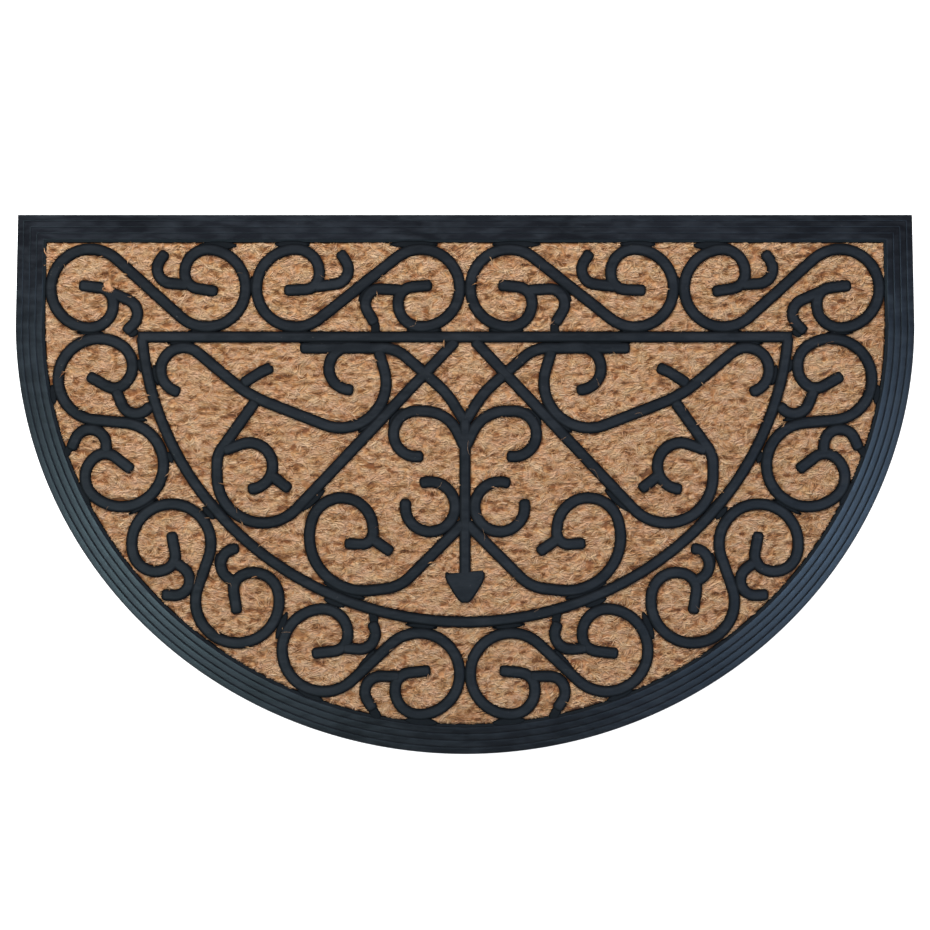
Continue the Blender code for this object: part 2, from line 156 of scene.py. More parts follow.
# Ribs inside the frame: where the first wheel starts and the last one ends, in degrees, if they are arcs
Rib = namedtuple("Rib", "name start end wheels")
FIELD_RIBS = (
    Rib("upper_bowl", -98, None, (
        Wheel(-0.2345, 0.0953, 0.0188, -1),
        Wheel(-0.1280, 0.1612, 0.1000, +1),
        Wheel(-0.1035, 0.0850, 0.0378, +1),
        Wheel(-0.0725, 0.1130),
    )),
    Rib("bowl_hook", None, 278, (Wheel(-0.0760, 0.1137), Wheel(-0.0953, 0.0968, 0.0180, +1))),
    Rib("twig", None, None, (
        Wheel(-0.1860, 0.0835),
        Wheel(-0.1695, 0.0940),
        Wheel(-0.1600, 0.0980),
    )),
    Rib("ogee", None, None, (
        Wheel(-0.1375, 0.1137),
        Wheel(-0.0690, 0.0837, 0.0300, -1),
        Wheel(-0.0700, 0.0300, 0.0710, -1),
        Wheel(0.0, 0.0520),
    )),
    Rib("brace", None, None, (
        Wheel(-0.0070, 0.1205),
        Wheel(-0.1680, 0.0065, 0.0385, -1),
        Wheel(-0.1845, 0.0175, 0.0220, -1),
        Wheel(-0.1740, 0.0700),
    )),
    Rib("drop_hook", None, -94, (Wheel(-0.2020, 0.0280), Wheel(-0.1795, 0.0155, 0.0193, -1))),
    Rib("drop_spur", None, None, (Wheel(-0.1630, 0.0090), Wheel(-0.1455, -0.0046))),
    Rib("upper_leaf", None, 288, (
        Wheel(0.0, 0.0300),
        Wheel(-0.0335, 0.0310, 0.0300, +1),
        Wheel(-0.0405, 0.0422, 0.0190, +1),
    )),
    Rib("lower_leaf", 115, 162, (Wheel(-0.0290, -0.0185, 0.0208, -1),)),
    Rib("lower_bowl", None, None, (
        Wheel(0.0, -0.0310),
        Wheel(-0.0705, -0.0520, 0.0350, -1),
        Wheel(-0.0846, -0.0435, 0.0450, -1),
        Wheel(-0.1026, -0.0370, 0.0260, -1),
        Wheel(-0.0862, -0.0400, 0.0098, -1),
        Wheel(-0.1005, -0.0490),
    )),
    Rib("lower_spur", None, None, (Wheel(-0.0790, -0.0440), Wheel(-0.0605, -0.0570))),
)

# Low webs that tie ribs to their neighbours and to the rim: middle, length, width, and direction in degrees
Web = namedtuple("Web", "x y length width angle")
WEBS = (
    # Top row, from the rim's corner inwards
    Web(-0.2057, 0.1990, 0.0310, 0.0070, 0),
    Web(-0.1438, 0.2000, 0.0290, 0.0060, 0),
    Web(-0.0428, 0.2000, 0.0400, 0.0060, 0),
    Web(-0.2170, 0.1275, 0.0270, 0.0040, 0),
    Web(-0.1401, 0.1278, 0.0230, 0.0040, 0),
    Web(-0.0340, 0.1288, 0.0290, 0.0056, 0),
    Web(-0.0746, 0.1300, 0.0150, 0.0075, 90),
    Web(-0.1775, 0.1660, 0.0150, 0.0036, 90),
    Web(-0.0838, 0.1591, 0.0160, 0.0050, 55),
    Web(-0.3120, 0.1263, 0.0220, 0.0034, 0),
    Web(-0.2762, 0.1262, 0.0090, 0.0060, 30),
    # Down the side, between the rim and the frame
    Web(-0.2705, 0.0990, 0.0110, 0.0050, -80),
    Web(-0.3428, 0.0750, 0.0160, 0.0056, -83),
    Web(-0.2620, 0.0660, 0.0080, 0.0056, 10),
    Web(-0.2743, 0.0555, 0.0200, 0.0044, -12),
    Web(-0.3070, 0.0473, 0.0100, 0.0050, 0),
    Web(-0.3312, 0.0275, 0.0130, 0.0070, 60),
    Web(-0.3180, -0.0074, 0.0230, 0.0060, -60),
    Web(-0.2455, 0.0225, 0.0100, 0.0050, -68),
    Web(-0.2681, -0.0185, 0.0270, 0.0040, 28),
    Web(-0.2136, -0.0237, 0.0140, 0.0054, -47),
    Web(-0.2265, -0.0823, 0.0130, 0.0034, 80),
    Web(-0.2065, -0.0636, 0.0130, 0.0040, 85),
    Web(-0.2122, -0.1345, 0.0200, 0.0060, -37),
    Web(-0.1526, -0.1174, 0.0240, 0.0060, 68),
    # Along the bow, to the middle
    Web(-0.1090, -0.0983, 0.0185, 0.0056, -21),
    Web(-0.1289, -0.1755, 0.0230, 0.0060, -24),
    Web(-0.0762, -0.1105, 0.0150, 0.0075, 100),
    Web(-0.0363, -0.1178, 0.0270, 0.0044, -6),
    Web(-0.0820, -0.1460, 0.0240, 0.0050, 48),
    Web(-0.0750, -0.1905, 0.0150, 0.0080, -60),
    Web(-0.0363, -0.1974, 0.0270, 0.0070, -6),
    # Inside the frame
    Web(-0.2368, 0.1178, 0.0220, 0.0036, 0),
    Web(-0.2575, 0.0913, 0.0170, 0.0050, -78),
    Web(-0.1060, 0.1183, 0.0640, 0.0040, 0),
    Web(-0.0764, 0.0549, 0.0340, 0.0056, 43),
    Web(-0.0557, 0.0561, 0.0200, 0.0092, 43),
    Web(-0.1950, 0.0330, 0.0130, 0.0050, 62),
    Web(-0.2095, -0.0155, 0.0440, 0.0056, -48),
    Web(-0.1263, -0.0132, 0.0260, 0.0056, 43),
    Web(-0.1007, -0.0884, 0.0370, 0.0060, -22),
)

# How a web narrows to its ends: places as shares of its half length, and widths as shares of its width
TaperStep = namedtuple("TaperStep", "along width")
WEB_TAPER = (
    TaperStep(-1.0, 0.30),
    TaperStep(-0.7, 0.75),
    TaperStep(-0.35, 1.0),
    TaperStep(0.35, 1.0),
    TaperStep(0.7, 0.75),
    TaperStep(1.0, 0.30),
)

# Half widths of the spear point at the stem's foot, from its shoulders down to its tip
Station = namedtuple("Station", "y half_width")
SPEAR_POINT = (
    Station(-0.0752, 0.0070),
    Station(-0.0748, 0.0115),
    Station(-0.0728, 0.0150),
    Station(-0.0735, 0.0165),
    Station(-0.0775, 0.0165),
    Station(-0.0815, 0.0150),
    Station(-0.0870, 0.0118),
    Station(-0.0930, 0.0080),
    Station(-0.0968, 0.0050),
    Station(-0.0986, 0.0028),
)

# Smooth noise over the coir: its waves along X and along Y, its slice, and its strength
Drift = namedtuple("Drift", "along_x along_y slice strength")
# By metre
SLOW_SWAY = Drift(28, 34, 4.0, 0.0065)
QUICK_SWAY = Drift(75, 95, 9.0, 0.0022)
CROOKED_WARP = Drift(40, 40, 12.0, 0.0022)
CROOKED_WEFT = Drift(45, 30, 15.0, 0.0012)
BROAD_RELIEF = Drift(22, 22, 2.0, 0.35)
# By clump
BUNDLE_RELIEF = Drift(1.0, 1.0, 1.0, 0.9)
STRAND_RELIEF = Drift(2.1, 1.8, 7.0, 0.4)
# By thread
HOLE_OPENING = Drift(3.7, 2.3, 5.1, 1.4)
HOLE_SHIFT_X = Drift(2.9, 3.1, 7.3, 0.0016)
HOLE_SHIFT_Y = Drift(4.3, 1.7, 9.7, 0.0016)

# Coir weave: weft floats in rows, half a step apart from row to row, with a sunk crossing between two floats
WEFT_PITCH = 0.0070
WARP_PITCH = 0.01515
FLOAT_RISE = 0.00025
# Clumps on floats are painted paler and those on crossings darker, as light and shade on the weave's rise
# and fall
FLOAT_SHADE = 0.12
CROSSING_HALF_WIDTH = 0.0037
CROSSING_LEVEL = -0.3
CROSSING_TURNED_SHARE = 0.40
HOLE_HALF_LENGTH = 0.0025
HOLE_HALF_HEIGHT = 0.00105
HOLE_MEAN_OPENING = 0.60
HOLE_FALL = 0.8
HOLE_DEPTH = 0.0009
# Fibres over a hole are painted darker as the hole's shade, down to the deepest shade
HOLE_SHADE = 1.9
DEEPEST_SHADE = -0.8

# Coir: the matted face, and the gap that ribs and lip press into it
FACE_COLUMNS = 300
FACE_ROWS = 170
RELIEF = 0.0004
GAP_DEPTH = 0.0010
GAP_COVER = 0.11
GAP_RAMP = 0.08
RUBBER_COVER = 0.12
RUBBER_RAMP = 0.10
RUBBER_CURVE = 0.25
SPOT_FALL = 1.2
COVER_STEP = 0.002
COVER_REACH = 0.0040
COVER_END_CUT = 0.45

# Clumps of fibres on the face
CLUMP_SEED = 11
CLUMP_LENGTH = 0.0060
CLUMP_WIDTH = 0.0030
CLUMP_RISE = 0.0009
CLUMP_FULL = 0.9
CLUMP_SPOTS = (-0.28, 0.0, 0.28)
CLUMP_REACH_X = 0.0021
CLUMP_REACH_Y = 0.0018
CLUMP_SHAKE = 0.42
CLUMP_SIZE_SPREAD = 0.22
CLUMP_TURN_SPREAD = 0.36
CLUMP_COVER_LIMIT = 0.80
CLUMP_SHADES = (2.6, 1.9)
CLUMPS_KEPT = 0.97
HOLE_THINNING = 0.8
DARK_CLUMPS = 0.10
DARK_CLUMP_SHADE = 0.3

# Fibres
FIBRE_SEED = 20
FIBRE_SETS = 5
FIBRE_RINGS = 3
FIBRES_IN_CLUMP = 8
FIBRE_LENGTH = 0.0060
FIBRE_LENGTH_SPREAD = 0.25
FIBRE_RADIUS = 0.00036
FIBRE_RADIUS_SPREAD = 0.35
FIBRE_THICKEST = 1.8
FIBRE_FLATNESS = 0.35
FIBRE_DIP = 0.0003
FIBRE_LIFT = 0.0002
FIBRE_LIFT_SPREAD = 0.00015
FIBRE_ACROSS = 0.46
FIBRE_ALONG = 0.16
FIBRE_TURN = 0.26
FIBRE_BEND = 0.13
FIBRE_GAP_SHARE = 0.8
FIBRE_COVER_LIMITS = (0.09, 0.20)
FIBRE_SHADES = (2.0, 2.0)
LOOSE_SHARE = 0.10
LOOSE_TURN = 1.4
DOME_TOP = 0.75
DOME_REACH = 0.7
OWN_SHADE_SHARE = 0.22
DARK_SHARE = 0.04
DARK_FIBRE_SHADE = 0.35
MEAN_SHADE = 0.5
SHADE_SPREAD = 0.4
FRINGE_SHARE = 0.015
FRINGE_SHADE = 0.35
FRINGE_LIFT = 0.6

# Hairs
HAIR_SEED = 71
HAIRS = 50
HAIR_RINGS = 10
HAIR_LENGTH = 0.010
HAIR_LENGTH_SPREAD = 0.35
HAIR_RADIUS = 0.00010
HAIR_BEND = 0.16
HAIR_WAVE = 0.05
HAIR_REACH_X = 0.33
HAIR_REACH_Y = 0.19
HAIR_PALEST = 0.5
HAIR_MARGIN = 1.02
HAIR_COVER_LIMITS = (0.01, 0.5)
HAIR_WAVES = 4

# A tuft that has worked up over a rib: where, how far it reaches, and its clumps with their heading and size
Tuft = namedtuple("Tuft", "x y reach clumps heading heading_spread size palest")
TUFT = Tuft(-0.2966, 0.1648, 0.0044, 18, -1.2, 0.3, 0.75, 0.4)

# Rubber finishes: share of dust, roughness and gloss, then the colours of edges, grooves and lip, painted
# dark as shade, of dull and of pale patches, and of rubbed places
Finish = namedtuple("Finish", "dust roughness gloss edge dull pale rubbed")
RIM_FINISH = Finish(
    0.10,
    0.36,
    0.105,
    (0.0012, 0.0013, 0.0018),
    (0.0012, 0.0014, 0.0026),
    (0.0042, 0.0050, 0.0076),
    (0.0180, 0.0220, 0.0280),
)
RIB_FINISH = Finish(
    0.25,
    0.46,
    0.05,
    (0.0007, 0.0007, 0.0009),
    (0.0040, 0.0044, 0.0056),
    (0.0074, 0.0082, 0.0103),
    (0.0200, 0.0220, 0.0260),
)
DUST = (0.16, 0.15, 0.14)
STREAK_WEAR = 0.35
STREAK_ROUGHNESS = 0.10
GROOVE_ROUGHNESS = 0.30

# Noise in the materials: its scale, its stretch along X, its slice, and the range spread out from 0 to 1
Grain = namedtuple("Grain", "Scale Stretch Offset Low High")
PLAIN = Grain(100.0, 1.0, 0.0, 0.3, 0.7)
RUBBER_CLOUD = Grain(14.0, 1.6, 0.0, 0.35, 0.68)
RUBBER_STREAK = Grain(160.0, 3.5, 3.0, 0.42, 0.72)
RUBBER_SPECK = Grain(420.0, 1.2, 6.0, 0.70, 0.78)
COIR_PATCH = Grain(70.0, 1.8, 2.0, 0.30, 0.70)
COIR_HUE = Grain(120.0, 1.4, 5.0, 0.35, 0.65)
COIR_DASH = Grain(175.0, 1.7, 9.0, 0.36, 0.50)
COIR_STRAND = Grain(520.0, 4.0, 4.0, 0.30, 0.72)

# Tones of coir, from the dark of a hole to a dry tip, for the rust brown fibres and for those like straw
Stop = namedtuple("Stop", "place colour")
RUST = (
    Stop(0.0, (0.132, 0.042, 0.010)),
    Stop(0.25, (0.290, 0.130, 0.053)),
    Stop(0.6, (0.405, 0.223, 0.122)),
    Stop(1.0, (0.500, 0.340, 0.236)),
)
STRAW = (
    Stop(0.0, (0.139, 0.052, 0.013)),
    Stop(0.25, (0.300, 0.152, 0.057)),
    Stop(0.6, (0.398, 0.244, 0.122)),
    Stop(1.0, (0.500, 0.374, 0.250)),
)
SHADE_SHARE = 0.55
PATCH_SHARE = 0.08
PATCH_MEAN = 1.2
DASH_SHARE = 0.46
# The ground under the fibres is painted darker as their shade, and darker again as shade in its hollows
FACE_SHADE = 0.22
HOLLOW_SHADE = 0.80
HOLLOW_FROM = 0.35

# Stage
PHOTO_SPAN = 0.7767
PHOTO_CENTRE_Y = 0.0162
LENS = 120
SENSOR = 36
FLOOR_REACH = 12.0
FLOOR_COLOUR = (0.92, 0.92, 0.92)
FLOOR_ROUGHNESS = 0.9
FLOOR_GLOW = (1.0, 1.0, 1.0)
FLOOR_GLOW_STRENGTH = 0.7
SKY = (0.96, 0.98, 1.0)
SKY_STRENGTH = 0.66
Light = namedtuple("Light", "name place size power colour")
KEY = Light("key", (-0.35, 1.05, 1.15), 1.8, 66, (0.95, 0.98, 1.0))
WINDOWS = (
    Light("left_window", (-1.20, -0.68, 2.15), 0.8, 106, (0.60, 0.90, 1.0)),
    Light("right_window", (1.30, -0.52, 2.15), 0.9, 122, (0.42, 0.67, 1.0)),
)


def direction(angle):
    return cos(radians(angle)), sin(radians(angle))


def wheel_arc(wheel, start, end):
    """Points on a wheel from the start angle to the end angle, the way the rib turns."""
    sweep = ((end - start) * wheel.turn) % 360
    if sweep > 359:
        sweep = 0
    step = 2 * degrees(acos(1 - SAGITTA / wheel.radius))
    count = max(1, ceil(sweep / step))
    for k in range(count + 1):
        dx, dy = direction(start + wheel.turn * sweep * k / count)
        yield wheel.x + wheel.radius * dx, wheel.y + wheel.radius * dy


def rib_line(wheels, start=None, end=None):
    """Middle line of a rib that runs round its wheels as a belt does, straight between them."""
    arrive = [start] * len(wheels)
    leave = [end] * len(wheels)
    for i, (here, ahead) in enumerate(zip(wheels, wheels[1:])):
        dx, dy = ahead.x - here.x, ahead.y - here.y
        lean = (ahead.radius * ahead.turn - here.radius * here.turn) / hypot(dx, dy)
        heading = degrees(atan2(dy, dx) - asin(max(-1.0, min(1.0, lean))))
        leave[i] = heading - 90 * here.turn
        arrive[i + 1] = heading - 90 * ahead.turn
    points = []
    for wheel, angle_in, angle_out in zip(wheels, arrive, leave):
        if wheel.radius:
            points += wheel_arc(wheel, angle_in, angle_out)
        else:
            points.append((wheel.x, wheel.y))
    line = points[:1]
    for point in points[1:]:
        if hypot(point[0] - line[-1][0], point[1] - line[-1][1]) > SHORTEST_STEP:
            line.append(point)
    return line


def at_neck_angle(loop, hand, reach, angle):
    """A place given by its share of the loop's radius and its angle from the neck."""
    dx, dy = direction(loop.neck + hand * angle)
    return loop.x + reach * loop.radius * dx, loop.y + reach * loop.radius * dy


def tongue_wheels(loop, hand):
    """Wheels from a loop's outer turn, winding in to the tip of its tongue."""
    inner = loop._replace(**dict(zip("xy", at_neck_angle(loop, hand, 1 - INNER_TURN, INNER_TURN_FROM))))
    tongue = at_neck_angle(inner, hand, INNER_TURN - TONGUE_TURN, TONGUE_TURN_FROM)
    tip = at_neck_angle(loop, hand, TONGUE_REACH, TONGUE_TIP_AT)
    return [
        Wheel(loop.x, loop.y, loop.radius, hand),
        Wheel(inner.x, inner.y, INNER_TURN * loop.radius, hand),
        Wheel(*tongue, TONGUE_TURN * loop.radius, hand),
        Wheel(*tip),
    ]


def curl_wheels(loop, hand):
    """Wheels of the short curl that leaves a loop's neck the other way."""
    return [
        Wheel(*at_neck_angle(loop, hand, NECK_REACH, 0)),
        Wheel(*at_neck_angle(loop, hand, loop.reach, loop.curl), CURL_TURN * loop.radius, -hand),
        Wheel(*at_neck_angle(loop, hand, loop.reach + CURL_TURN, loop.tip)),
    ]


def scroll_lines(scroll):
    """The S of two loops, and the curl at each end of it."""
    back = [wheel._replace(turn=-wheel.turn) for wheel in reversed(tongue_wheels(scroll.first, scroll.hand))]
    yield rib_line(back + tongue_wheels(scroll.second, scroll.hand))
    yield rib_line(curl_wheels(scroll.first, scroll.hand))
    yield rib_line(curl_wheels(scroll.second, scroll.hand))


def left_lines():
    for scroll in BORDER_SCROLLS:
        yield from scroll_lines(scroll)
    for rib in FIELD_RIBS:
        yield rib_line(rib.wheels, rib.start, rib.end)


def bow_line(half_width, depth, centre_y, first, last, steps):
    """Points of a lower half ellipse between two angles in radians, left to right."""
    for k in range(steps + 1):
        angle = first + (last - first) * k / steps
        yield half_width * cos(angle), centre_y + depth * sin(angle)


def frame_bow():
    start = asin((FRAME_BOW_Y - FRAME_BAR_Y) / FRAME_BOW_DEPTH)
    return list(
        bow_line(FRAME_HALF_WIDTH, FRAME_BOW_DEPTH, FRAME_BOW_Y, pi + start, 2 * pi - start, FRAME_STEPS)
    )


def frame_bar():
    return [(-FRAME_BAR_REACH, FRAME_BAR_Y), (FRAME_BAR_REACH, FRAME_BAR_Y)]


def stem():
    return [(0.0, STEM_TOP), (0.0, STEM_FOOT)]


def bow_size(inset):
    """Half width and depth of the mat's bow, drawn in all round."""
    return MAT_WIDTH / 2 - inset, SHOULDER_Y + MAT_DEPTH / 2 - inset


def mat_outline():
    """The mat's outer edge, counterclockwise from the left shoulder."""
    points = list(bow_line(*bow_size(0), SHOULDER_Y, pi, 2 * pi, BOW_STEPS))
    points.append((CORNER_HALF_WIDTH, MAT_DEPTH / 2))
    points.append((-CORNER_HALF_WIDTH, MAT_DEPTH / 2))
    return points


def rib_sides(line, width):
    """Left and right side of a rib of even width along its middle line, with mitred bends."""
    left, right = [], []
    for i, (x, y) in enumerate(line):
        before = line[max(i - 1, 0)]
        after = line[min(i + 1, len(line) - 1)]
        heading_in = atan2(y - before[1], x - before[0]) if i else atan2(after[1] - y, after[0] - x)
        heading_out = atan2(after[1] - y, after[0] - x) if after != (x, y) else heading_in
        half_bend = ((heading_out - heading_in + pi) % (2 * pi) - pi) / 2
        reach = width / 2 / cos(half_bend)
        nx = -sin(heading_in + half_bend) * reach
        ny = cos(heading_in + half_bend) * reach
        left.append((x + nx, y + ny))
        right.append((x - nx, y - ny))
    return left, right


def shortened(line, length):
    """The same line without its last stretch."""
    points = list(line)
    while len(points) > 2:
        step = hypot(points[-1][0] - points[-2][0], points[-1][1] - points[-2][1])
        if step > length + SHORTEST_STEP:
            break
        length -= step
        points.pop()
    (x0, y0), (x1, y1) = points[-2:]
    share = 1 - length / hypot(x1 - x0, y1 - y0)
    points[-1] = (x0 + (x1 - x0) * share, y0 + (y1 - y0) * share)
    return points


def with_cut_ends(line, length):
    return shortened(shortened(line, length)[::-1], length)


def web_sides(web):
    """Sides of a web whose ends taper away into the ribs that it ties."""
    dx, dy = direction(web.angle)
    left, right = [], []
    for along, share in WEB_TAPER:
        reach, half = along * web.length / 2, share * web.width / 2
        left.append((web.x + reach * dx - half * dy, web.y + reach * dy + half * dx))
        right.append((web.x + reach * dx + half * dy, web.y + reach * dy - half * dx))
    return left, right


# Mesh helpers


def place_object(name, data):
    piece = bpy.data.objects.new(name, data)
    bpy.context.scene.collection.objects.link(piece)
    return piece


def finish_mesh(name, work, material):
    """Turns a bmesh into an object of the mat with one material and smooth faces."""
    mesh = bpy.data.meshes.new(name)
    bmesh.ops.recalc_face_normals(work, faces=work.faces)
    work.to_mesh(mesh)
    work.free()
    mesh.materials.append(material)
    mesh.shade_smooth()
    return place_object(name, mesh)


def keep_flats_flat(piece):
    """Lets the broad faces rule the shading where they meet rounded edges."""
    weighted = piece.modifiers.new("flat_tops", "WEIGHTED_NORMAL")
    weighted.keep_sharp = False
    return piece


def outline_face(work, outline, height):
    face = work.faces.new([work.verts.new((x, y, height)) for x, y in outline])
    work.normal_update()
    return face


def of_kind(kind, items):
    return [item for item in items if isinstance(item, kind)]


def raise_face(work, face, rise):
    """Walls from a face's edges to a copy of it that lies higher. Returns the copy, and keeps the face."""
    new = bmesh.ops.extrude_face_region(work, geom=[face], use_keep_orig=True)["geom"]
    bmesh.ops.translate(work, vec=(0.0, 0.0, rise), verts=of_kind(BMVert, new))
    return of_kind(BMFace, new)[0]


def step_inwards(work, face, inwards, rise):
    """A ring of faces from a face's edge to a smaller copy of its outline that lies higher or lower."""
    bmesh.ops.inset_region(work, faces=[face], thickness=inwards, use_even_offset=True)
    bmesh.ops.translate(work, vec=(0.0, 0.0, rise), verts=face.verts)


# Rubber


RidgeStep = namedtuple("RidgeStep", "share height")
RIDGE_SECTION = (
    RidgeStep(0.04, 0.50),
    RidgeStep(0.09, 0.90),
    RidgeStep(0.15, 1.00),
    RidgeStep(0.50, 1.03),
    RidgeStep(0.84, 1.00),
    RidgeStep(0.91, 0.85),
    RidgeStep(0.96, 0.45),
    RidgeStep(1.00, 0.00),
)


def rim_profile():
    """Steps of the rim from its outer edge inwards: how far in each ends, its height, and its share of crest
    light and wear, low in the grooves and none on the lip, whose darker colour is painted shade.
    """
    climb = (RIM_CLIMB_TO - RIM_EDGE_HEIGHT) / RIDGE_COUNT
    for number in range(RIDGE_COUNT):
        for step in RIDGE_SECTION:
            inwards = (number + step.share) * RIDGE_PITCH
            climbed = RIM_EDGE_HEIGHT + climb * (number + step.share)
            level = climbed + RIDGE_HEIGHT * (step.height - RIDGE_MEAN)
            yield inwards, level, GROOVE_LIGHT_AND_WEAR + (1 - GROOVE_LIGHT_AND_WEAR) * step.height
    edge = RIDGE_COUNT * RIDGE_PITCH
    yield edge + LIP_SLOPE, LIP_TOP, 0.0
    yield edge + LIP_SLOPE + LIP_WIDTH - MOULD_EDGE, LIP_TOP, 0.0
    yield edge + LIP_SLOPE + LIP_WIDTH, LIP_TOP - MOULD_EDGE, 0.0


def narrow_straight_rim(work):
    """Moves the corners by the straight edge out, so that what lies inside them grows towards that edge."""
    for vert in work.verts:
        if vert.co.y > MAT_DEPTH / 2 - STRAIGHT_RIM_ZONE:
            vert.co.y = MAT_DEPTH / 2 - (MAT_DEPTH / 2 - vert.co.y) * STRAIGHT_RIM_SHARE


def make_tray(material):
    """Base, ridged rim and the recess for the coir, from one outline stepped inwards."""
    work = bmesh.new()
    crest_light_and_wear = work.verts.layers.float.new("crest_light_and_wear")
    under = outline_face(work, mat_outline(), MOULD_EDGE)
    lid = raise_face(work, under, RIM_EDGE_HEIGHT - 2 * MOULD_EDGE)
    step_inwards(work, under, MOULD_EDGE, -MOULD_EDGE)
    depth, height = 0.0, RIM_EDGE_HEIGHT - MOULD_EDGE
    for inwards, level, light_and_wear_level in rim_profile():
        step_inwards(work, lid, inwards - depth, level - height)
        depth, height = inwards, level
        # Each ring keeps its share of crest light and wear; the rubber paints low shares darker, as shade in
        # the grooves and on the lip.
        for vert in lid.verts:
            vert[crest_light_and_wear] = light_and_wear_level
    floor = raise_face(work, lid, BASE_TOP - height)
    # The recess floor under the coir gets none, so it is painted dark as shade.
    for vert in floor.verts:
        vert[crest_light_and_wear] = 0.0
    bmesh.ops.delete(work, geom=[lid], context="FACES_ONLY")
    narrow_straight_rim(work)
    return keep_flats_flat(finish_mesh("rubber_tray", work, material))


def bridged_strip(work, left, right):
    """A flat strip of faces between two sides. Returns its two end edges."""
    edges, ends = [], []
    for side in (left, right):
        verts = [work.verts.new((x, y, RIB_FOOT)) for x, y in side]
        edges += [work.edges.new(pair) for pair in zip(verts, verts[1:])]
        ends.append((verts[0], verts[-1]))
    bmesh.ops.bridge_loops(work, edges=edges)
    return [work.edges.get(pair) for pair in zip(*ends)]


def round_tip(work, edge):
    """Draws a strip's end edge out to a rounded tip."""
    middle = (edge.verts[0].co + edge.verts[1].co) / 2
    heading = (middle - edge.link_faces[0].calc_center_median()).normalized()
    half = edge.calc_length() / 2
    turns = [k * pi / 2 / TIP_STEPS for k in range(TIP_STEPS + 1)]
    for last_turn, turn in zip(turns, turns[1:]):
        edge = of_kind(BMEdge, bmesh.ops.extrude_edge_only(work, edges=[edge])["geom"])[0]
        verts = list(edge.verts)
        wide, last_wide = (half - RIB_TIP_ROUND * (1 - cos(angle)) for angle in (turn, last_turn))
        share = wide / last_wide
        bmesh.ops.scale(work, vec=(share, share, 1.0), space=Matrix.Translation(-middle), verts=verts)
        bmesh.ops.translate(work, vec=heading * RIB_TIP_ROUND * (sin(turn) - sin(last_turn)), verts=verts)
        middle = (verts[0].co + verts[1].co) / 2


def make_bar(left, right, top, tipped, edge_round, light_and_wear_level):
    """One rib in a bmesh of its own: a raised strip with rounded tips, rolled edges and a slight crown."""
    work = bmesh.new()
    crest_light_and_wear = work.verts.layers.float.new("crest_light_and_wear")
    ends = bridged_strip(work, left, right)
    if tipped:
        for edge in ends:
            round_tip(work, edge)
    new = bmesh.ops.extrude_face_region(work, geom=work.faces[:], use_keep_orig=True)["geom"]
    bmesh.ops.translate(work, vec=(0.0, 0.0, top - RIB_FOOT), verts=of_kind(BMVert, new))
    bmesh.ops.recalc_face_normals(work, faces=work.faces)
    lid = set(of_kind(BMFace, new))
    shoulder = [edge for edge in work.edges if len(lid.intersection(edge.link_faces)) == 1]
    bmesh.ops.bevel(
        work,
        geom=shoulder,
        offset=edge_round,
        offset_type="OFFSET",
        affect="EDGES",
        segments=ROLL_SEGMENTS,
        profile=0.5,
        material=-1,
        clamp_overlap=False,
    )
    work.normal_update()
    level = [face for face in work.faces if face.normal.z > LEVEL_NORMAL]
    crown = [face for face in level if face.calc_center_median().z > top - LEVEL_SLACK]
    bmesh.ops.inset_region(work, faces=crown, thickness=edge_round * CROWN_INSET, use_even_offset=True)
    middle = {vert for face in crown for vert in face.verts}
    bmesh.ops.translate(work, vec=(0.0, 0.0, RIB_CROWN), verts=list(middle))
    # Crest light and wear: full on the crown, falling to none down the rolled edges, so that the flanks are
    # painted dark as shade.
    for vert in work.verts:
        rolled = max(0.0, min(1.0, (vert.co.z - top + edge_round) / edge_round))
        vert[crest_light_and_wear] = light_and_wear_level if vert in middle else EDGE_LIGHT_AND_WEAR * light_and_wear_level * rolled**2
    return work


def both_hands(sides):
    left, right = sides
    yield left, right
    yield [(-x, y) for x, y in left], [(-x, y) for x, y in right]


def bars():
    """Sides, top, whether the tips are rounded, roll of the edge, and share of crest light and wear, lower
    on webs to paint their joints darker as shade, for every rib and web.
    """
    for line in left_lines():
        for left, right in both_hands(rib_sides(with_cut_ends(line, RIB_TIP_ROUND), RIB_WIDTH)):
            yield left, right, RIB_TOP, True, RIB_ROUND, 1.0
    for line, width in ((frame_bar(), FRAME_WIDTH), (frame_bow(), FRAME_WIDTH), (stem(), RIB_WIDTH)):
        yield *rib_sides(line, width), RIB_TOP, False, RIB_ROUND, 1.0
    spear = [(station.half_width, station.y) for station in SPEAR_POINT]
    yield [(-x, y) for x, y in spear], spear, RIB_TOP, False, SPEAR_ROUND, 1.0
    for web in WEBS:
        for left, right in both_hands(web_sides(web)):
            yield left, right, WEB_TOP, False, WEB_ROUND, WEB_LIGHT_AND_WEAR


def make_scrollwork(material):
    """All ribs and webs in one mesh, each a hair lower than the last, so that no two tops share a plane."""
    joined = bmesh.new()
    for number, (left, right, top, *shape) in enumerate(bars()):
        bar = make_bar(left, right, top - STACK_STEP * (number % STACK_LEVELS) - RIB_CROWN, *shape)
        bmesh.ops.recalc_face_normals(bar, faces=bar.faces)
        mesh = bpy.data.meshes.new("bar")
        bar.to_mesh(mesh)
        bar.free()
        joined.from_mesh(mesh)
        bpy.data.meshes.remove(mesh)
    return keep_flats_flat(finish_mesh("rubber_scrollwork", joined, material))


# Coir


